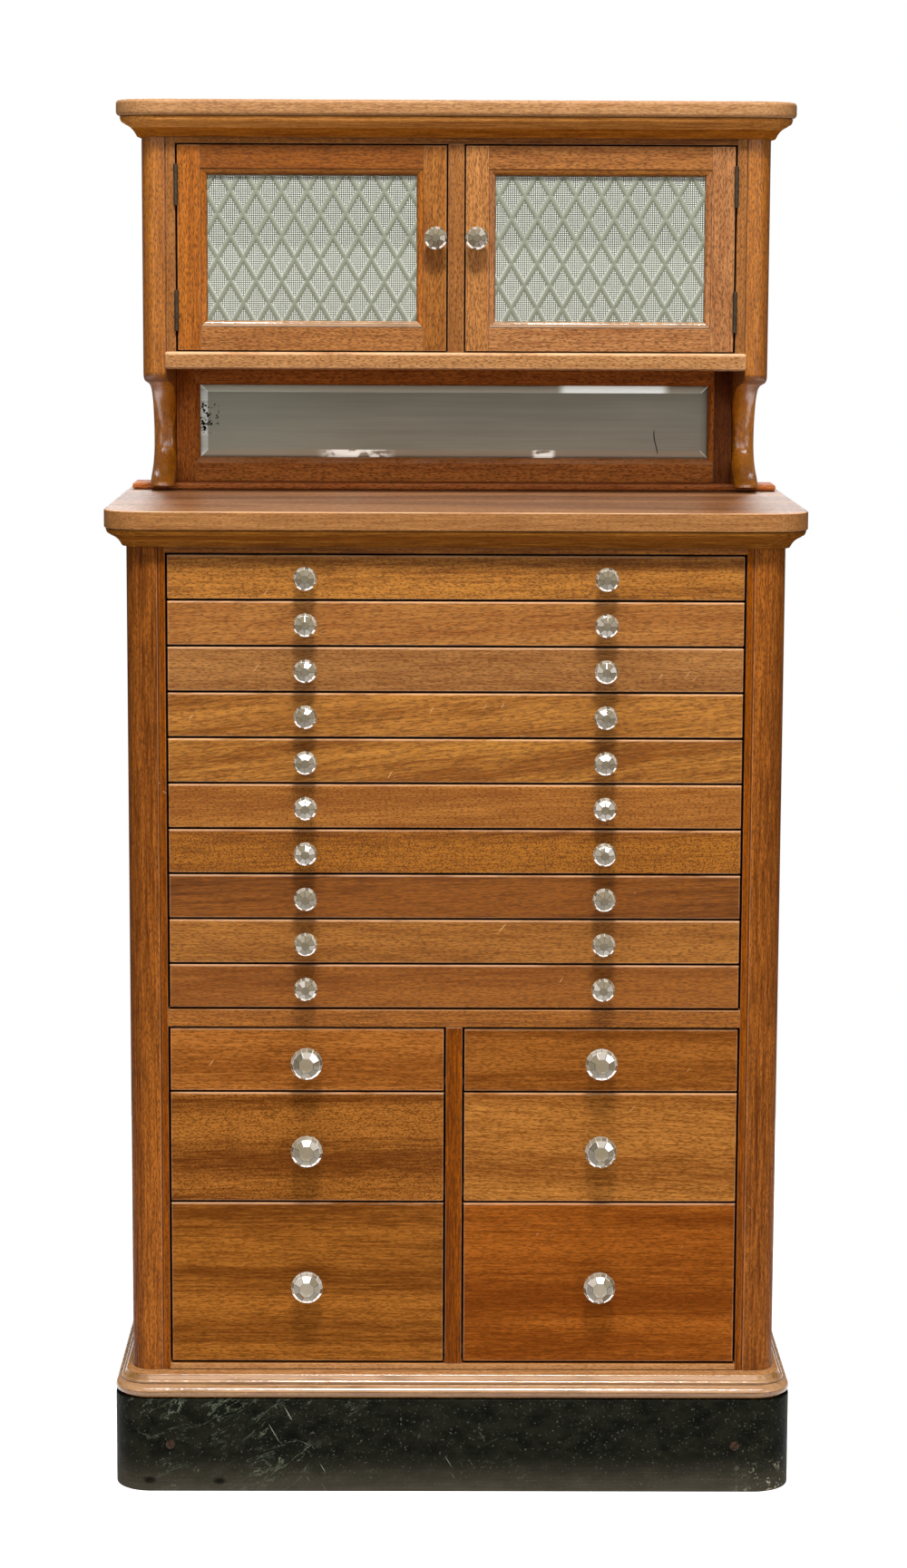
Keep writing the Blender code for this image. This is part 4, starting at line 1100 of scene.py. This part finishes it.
# The ground and the rib edges are painted lighter below the shelf's level than above it.
under_shelf = 1 - between(height, 0.49, 0.53)
gaps = blended(under_shelf, (0.060, 0.065, 0.045), (0.125, 0.134, 0.100))
colour = coated(
    gaps, (between(dots_up * dots_across, 0.03, 0.70), (0.85, 0.87, 0.78)), (rib, (0.218, 0.230, 0.166)),
    (rib_highlight * (0.20 + 0.35 * under_shelf), (0.562, 0.577, 0.515)),
    (rib_shade * (0.55 - 0.25 * under_shelf), (0.084, 0.087, 0.061)), (0.18 * haze, (0.303, 0.319, 0.250)))
lay_on(shader, Base_Color=colour, Roughness=0.18 + 0.2 * haze, Normal=bumped(haze, 0.05, 0.0004))
dark_bronze, shader, point = finish("dark_bronze", Metallic=0.9)
tarnish = cloud(point, 260.0, 4.0, 0.65)
lay_on(shader, Base_Color=blended(tarnish, (0.020, 0.017, 0.014), (0.10, 0.075, 0.05)),
       Roughness=0.3 + 0.35 * tarnish, Normal=bumped(tarnish, 0.2, 0.0002))

for side, word in sides:
    low, high = door_low, door_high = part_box(f"{word}_door_frame")
    looks = [mahogany(f"{word}_door_{part}_wood", grain, *look, ribbon=0.45)
             for (part, grain), look in zip(door_parts, door_looks[word])]
    looks += [top_slope_shade_wood, base_wood]
    bm = blank()
    for ends in ((low.x, low.x + door_flat), (high.x - door_flat, high.x)):
        meeting = abs(sum(ends)) < abs(low.x + high.x)
        board(bm, (ends[0], low.y, low.z), (ends[1], high.y, high.z), stile_ease, int(meeting))
    for look, ends in ((2, (low.z, low.z + door_flat)), (3, (high.z - door_flat, high.z))):
        board(bm, (low.x + door_flat, low.y, ends[0]), (high.x - door_flat, high.y, ends[1]),
              door_rail_ease, look, 0.3)
    slope_front = low.y + slope_sink
    slope = [(0.0, slope_front + slope_fillet), (slope_quirk, slope_front + slope_fillet)]
    for turn in quarter(5):
        slope.append((slope_start + (slope_wide - slope_start) * math.sin(turn) ** 1.2,
                      slope_front + (slope_deep - slope_lift) * (1 - math.cos(turn))))
    slope += [(slope_wide, low.y + slope_deep), (0.0, low.y + slope_deep)]
    mitred_lip(bm, low.x + door_flat, high.x - door_flat, low.z + door_flat, high.z - door_flat,
               slope, 5, 0, 4)
    fitted(made_up(f"{word}_door_joinery", bm, looks), f"{word}_door", f"{word}_door_frame")

    low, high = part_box(f"{word}_door_glass")
    middle, size = (low + high) / 2, high - low
    bm = blank()
    lay = Matrix.Translation((middle.x, low.y + rib_rise, middle.z)) @ Matrix.Rotation(math.pi / 2, 4, "X")
    lay = lay @ Matrix.Diagonal((size.x / 2, size.z / 2, 1.0, 1.0))
    lattice = bm.verts.layers.float_vector.new("lattice")
    points = bm.verts.layers.float_vector.new("points")
    bmesh.ops.create_grid(bm, x_segments=2 * points_across, y_segments=2 * points_up, size=1.0, matrix=lay)
    rim = [edge for edge in bm.edges if edge.is_boundary]
    shift_x, shift_z = lattice_shift[word]
    for vert in bm.verts:
        across = (vert.co.x - middle.x - shift_x) / rib_across
        up = (vert.co.z - middle.z - shift_z) / rib_tall
        column = points_across * (vert.co.x - low.x) / size.x
        row = points_up * (vert.co.z - low.z) / size.z
        vert[lattice] = (across + up, across - up, (vert.co.z - low.z) / size.z)
        vert[points] = (column, row, 0.0)
        away = min(abs(value - round(value)) for value in vert[lattice][:2]) / rib_share
        if away < 1:
            vert.co.y -= rib_rise * (0.2 + 0.8 * (0.5 + 0.5 * math.cos(math.pi * away)))
        elif round(2 * column) % 2 == 0 and round(2 * row) % 2 == 0:
            vert.co.y -= point_rise
    rim = drawn(bm, rim, (0, size.y - rib_rise, 0))
    for vert in {vert for edge in rim for vert in edge.verts}:
        vert.co.y = high.y
    bmesh.ops.edgeloop_fill(bm, edges=rim)
    faced_out(bm)
    fitted(made_up(f"{word}_door_pane", bm, [pressed_glass], crease=60, weighted=False),
           f"{word}_door", f"{word}_door_glass")
    knob(f"{word}_door_knob", f"{word}_door", side * door_knob_x, door_low.y, door_knob_level,
         door_high.y - door_low.y, eighth)

    # Hinges: five bronze knuckles on a pin, and a leaf let into the strip's edge and screwed there.
    # They belong to the case, and the door turns about their pins.
    for row in ("upper", "lower"):
        node = f"{word}_door_{row}_hinge"
        low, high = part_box(node)
        bm = blank()
        length = (high.z - low.z) / knuckles
        for knuckle in range(knuckles):
            centre = Matrix.Translation((side * pin_out, pin_y, low.z + (knuckle + 0.5) * length))
            verts = bmesh.ops.create_cone(
                bm, cap_ends=True, segments=20, radius1=knuckle_radius, radius2=knuckle_radius,
                depth=length - knuckle_ease, matrix=centre)["verts"]
            ends = {edge for vert in verts for edge in vert.link_edges
                    if abs(edge.verts[0].co.z - edge.verts[1].co.z) < 1e-6}
            bevelled(bm, ends, knuckle_ease, 2)
        board(bm, (side * (opening_half - leaf_gap), pin_y, low.z + leaf_gap),
              (side * (opening_half - leaf_thick), high.y, high.z - leaf_gap), leaf_ease)
        fitted(made_up(f"{node}_knuckles", bm, [dark_bronze]), "cabinet", node)

# Crown: the cupboard's top board with rounded edges, over the same run of moulding as the worktop.
# Both are mahogany and glued to the carcass. The foot of the moulding is painted darker, as shade.
_, crown_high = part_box("crown_board")
crown_moulding_high = 0.0234
crown_hollow = (-0.10, 0.42)
crown_under = crown_low + crown_moulding_high
crown_out, crown_moulding_out, crown_ease = 0.029, 0.025, 0.0045
crown_thick = crown_high.z - crown_low - crown_moulding_high
crown_wood = mahogany(
    "crown_wood", "x", 111.0, (0.363, 0.194, 0.0817), (0.239, 0.103, 0.0344), ribbon=0.4, pale=0.12,
    pores=0.42)
crown_moulding_wood = mahogany(
    "crown_moulding_wood", "x", 113.0, (0.470, 0.195, 0.046), (0.215, 0.075, 0.0145), **moulding_finish)
# Painted shade: the darker lower part of the crown moulding.
crown_cove_shade_wood = mahogany(
    "crown_cove_shade_wood", "x", 114.0, (0.332, 0.105, 0.0108), (0.144, 0.039, 0.0043), **moulding_finish)
bm = blank()
run_round(bm, rounded_edge(crown_out, crown_ease, crown_under, crown_thick), upper_half, upper_front)
fitted(made_up("crown_top", bm, [crown_wood]), "cabinet", "crown_board")
bm = blank()
run_round(bm, moulding(crown_low, crown_moulding_high, crown_moulding_out), upper_half, upper_front)
shade_hollow(bm, crown_low, crown_moulding_high, *crown_hollow)
fitted(made_up("crown_moulding", bm, [crown_moulding_wood, crown_cove_shade_wood]), "cabinet")

# Studio: a pale floor, a lamp and a long strip above, a wide soft lamp in front, weak fill from both
# sides, one lamp behind, and the camera where the picture was taken from.
floor_half = 1.6
room_strength, backdrop_strength = 0.14, 1.0
mid_chest = (0.0, 0.0, 0.8)
lamps = (
    ("key", (0.1, -3.2, 6.2), mid_chest, (1.1, 0.7), 530.0),
    ("strip", (0.0, -2.2, 4.2), (0.0, -0.2, 0.12), (4.4, 0.3), 110.0),
    ("front_fill", (0.0, -3.4, 2.4), mid_chest, (3.0, 1.6), 36.0),
    ("left_fill", (-2.6, -2.4, 1.3), mid_chest, (1.2, 2.0), 16.0),
    ("right_fill", (2.6, -2.4, 1.3), mid_chest, (1.2, 2.0), 22.0),
    ("back_light", (0.0, 3.0, 2.6), mid_chest, (2.0, 1.0), 60.0))
camera_place = Vector((-0.031, -4.1825, 1.407))
pitch, yaw, roll = 0.14682, 0.00727, -0.00416
film_wide = 36.0
focal_pixels, image_high = 3990.5, 1729

studio_white, shader, point = finish("studio_white", Roughness=0.9, Emission_Strength=0.45,
                                     Emission_Color=(1, 1, 1, 1), Specular_IOR_Level=0.0)
lay_on(shader, Base_Color=blended(cloud(point, 3.0), (0.86, 0.86, 0.86), (0.88, 0.88, 0.88)))
bm = blank()
bmesh.ops.create_grid(bm, x_segments=1, y_segments=1, size=floor_half)
made_up("studio_floor", bm, [studio_white], crease=None)

scene = bpy.context.scene
scene.view_settings.view_transform = "Standard"
world = bpy.data.worlds.new("studio")
scene.world = world
world.use_nodes = True
tree = world.node_tree
dim = tree.nodes["Background"]
dim.inputs["Color"].default_value = (1.0, 0.98, 0.95, 1)
dim.inputs["Strength"].default_value = room_strength
bright = tree.nodes.new("ShaderNodeBackground")
bright.inputs["Color"].default_value = (1, 1, 1, 1)
bright.inputs["Strength"].default_value = backdrop_strength
seen = tree.nodes.new("ShaderNodeLightPath")
either = tree.nodes.new("ShaderNodeMixShader")
tree.links.new(seen.outputs["Is Camera Ray"], either.inputs[0])
tree.links.new(dim.outputs[0], either.inputs[1])
tree.links.new(bright.outputs[0], either.inputs[2])
tree.links.new(either.outputs[0], tree.nodes["World Output"].inputs["Surface"])

for lamp_name, spot, aim, size, power in lamps:
    lamp = bpy.data.lights.new(lamp_name, "AREA")
    lamp.shape = "RECTANGLE"
    lamp.size, lamp.size_y = size
    lamp.energy = power
    holder = bpy.data.objects.new(lamp_name, lamp)
    holder.location = spot
    holder.rotation_euler = (Vector(aim) - Vector(spot)).to_track_quat("-Z", "Y").to_euler()
    scene.collection.objects.link(holder)

ahead = Vector((math.sin(yaw) * math.cos(pitch), math.cos(yaw) * math.cos(pitch), -math.sin(pitch)))
rightward = Vector((math.cos(yaw), -math.sin(yaw), 0.0))
downward = ahead.cross(rightward)
image_right = rightward * math.cos(roll) + downward * math.sin(roll)
image_down = downward * math.cos(roll) - rightward * math.sin(roll)
lens = bpy.data.cameras.new("camera")
lens.sensor_width = film_wide
lens.lens = film_wide * focal_pixels / image_high
camera = bpy.data.objects.new("camera", lens)
scene.collection.objects.link(camera)
columns = Matrix((image_right, -image_down, -ahead)).transposed()
camera.matrix_world = Matrix.Translation(camera_place) @ columns.to_4x4()
scene.camera = camera
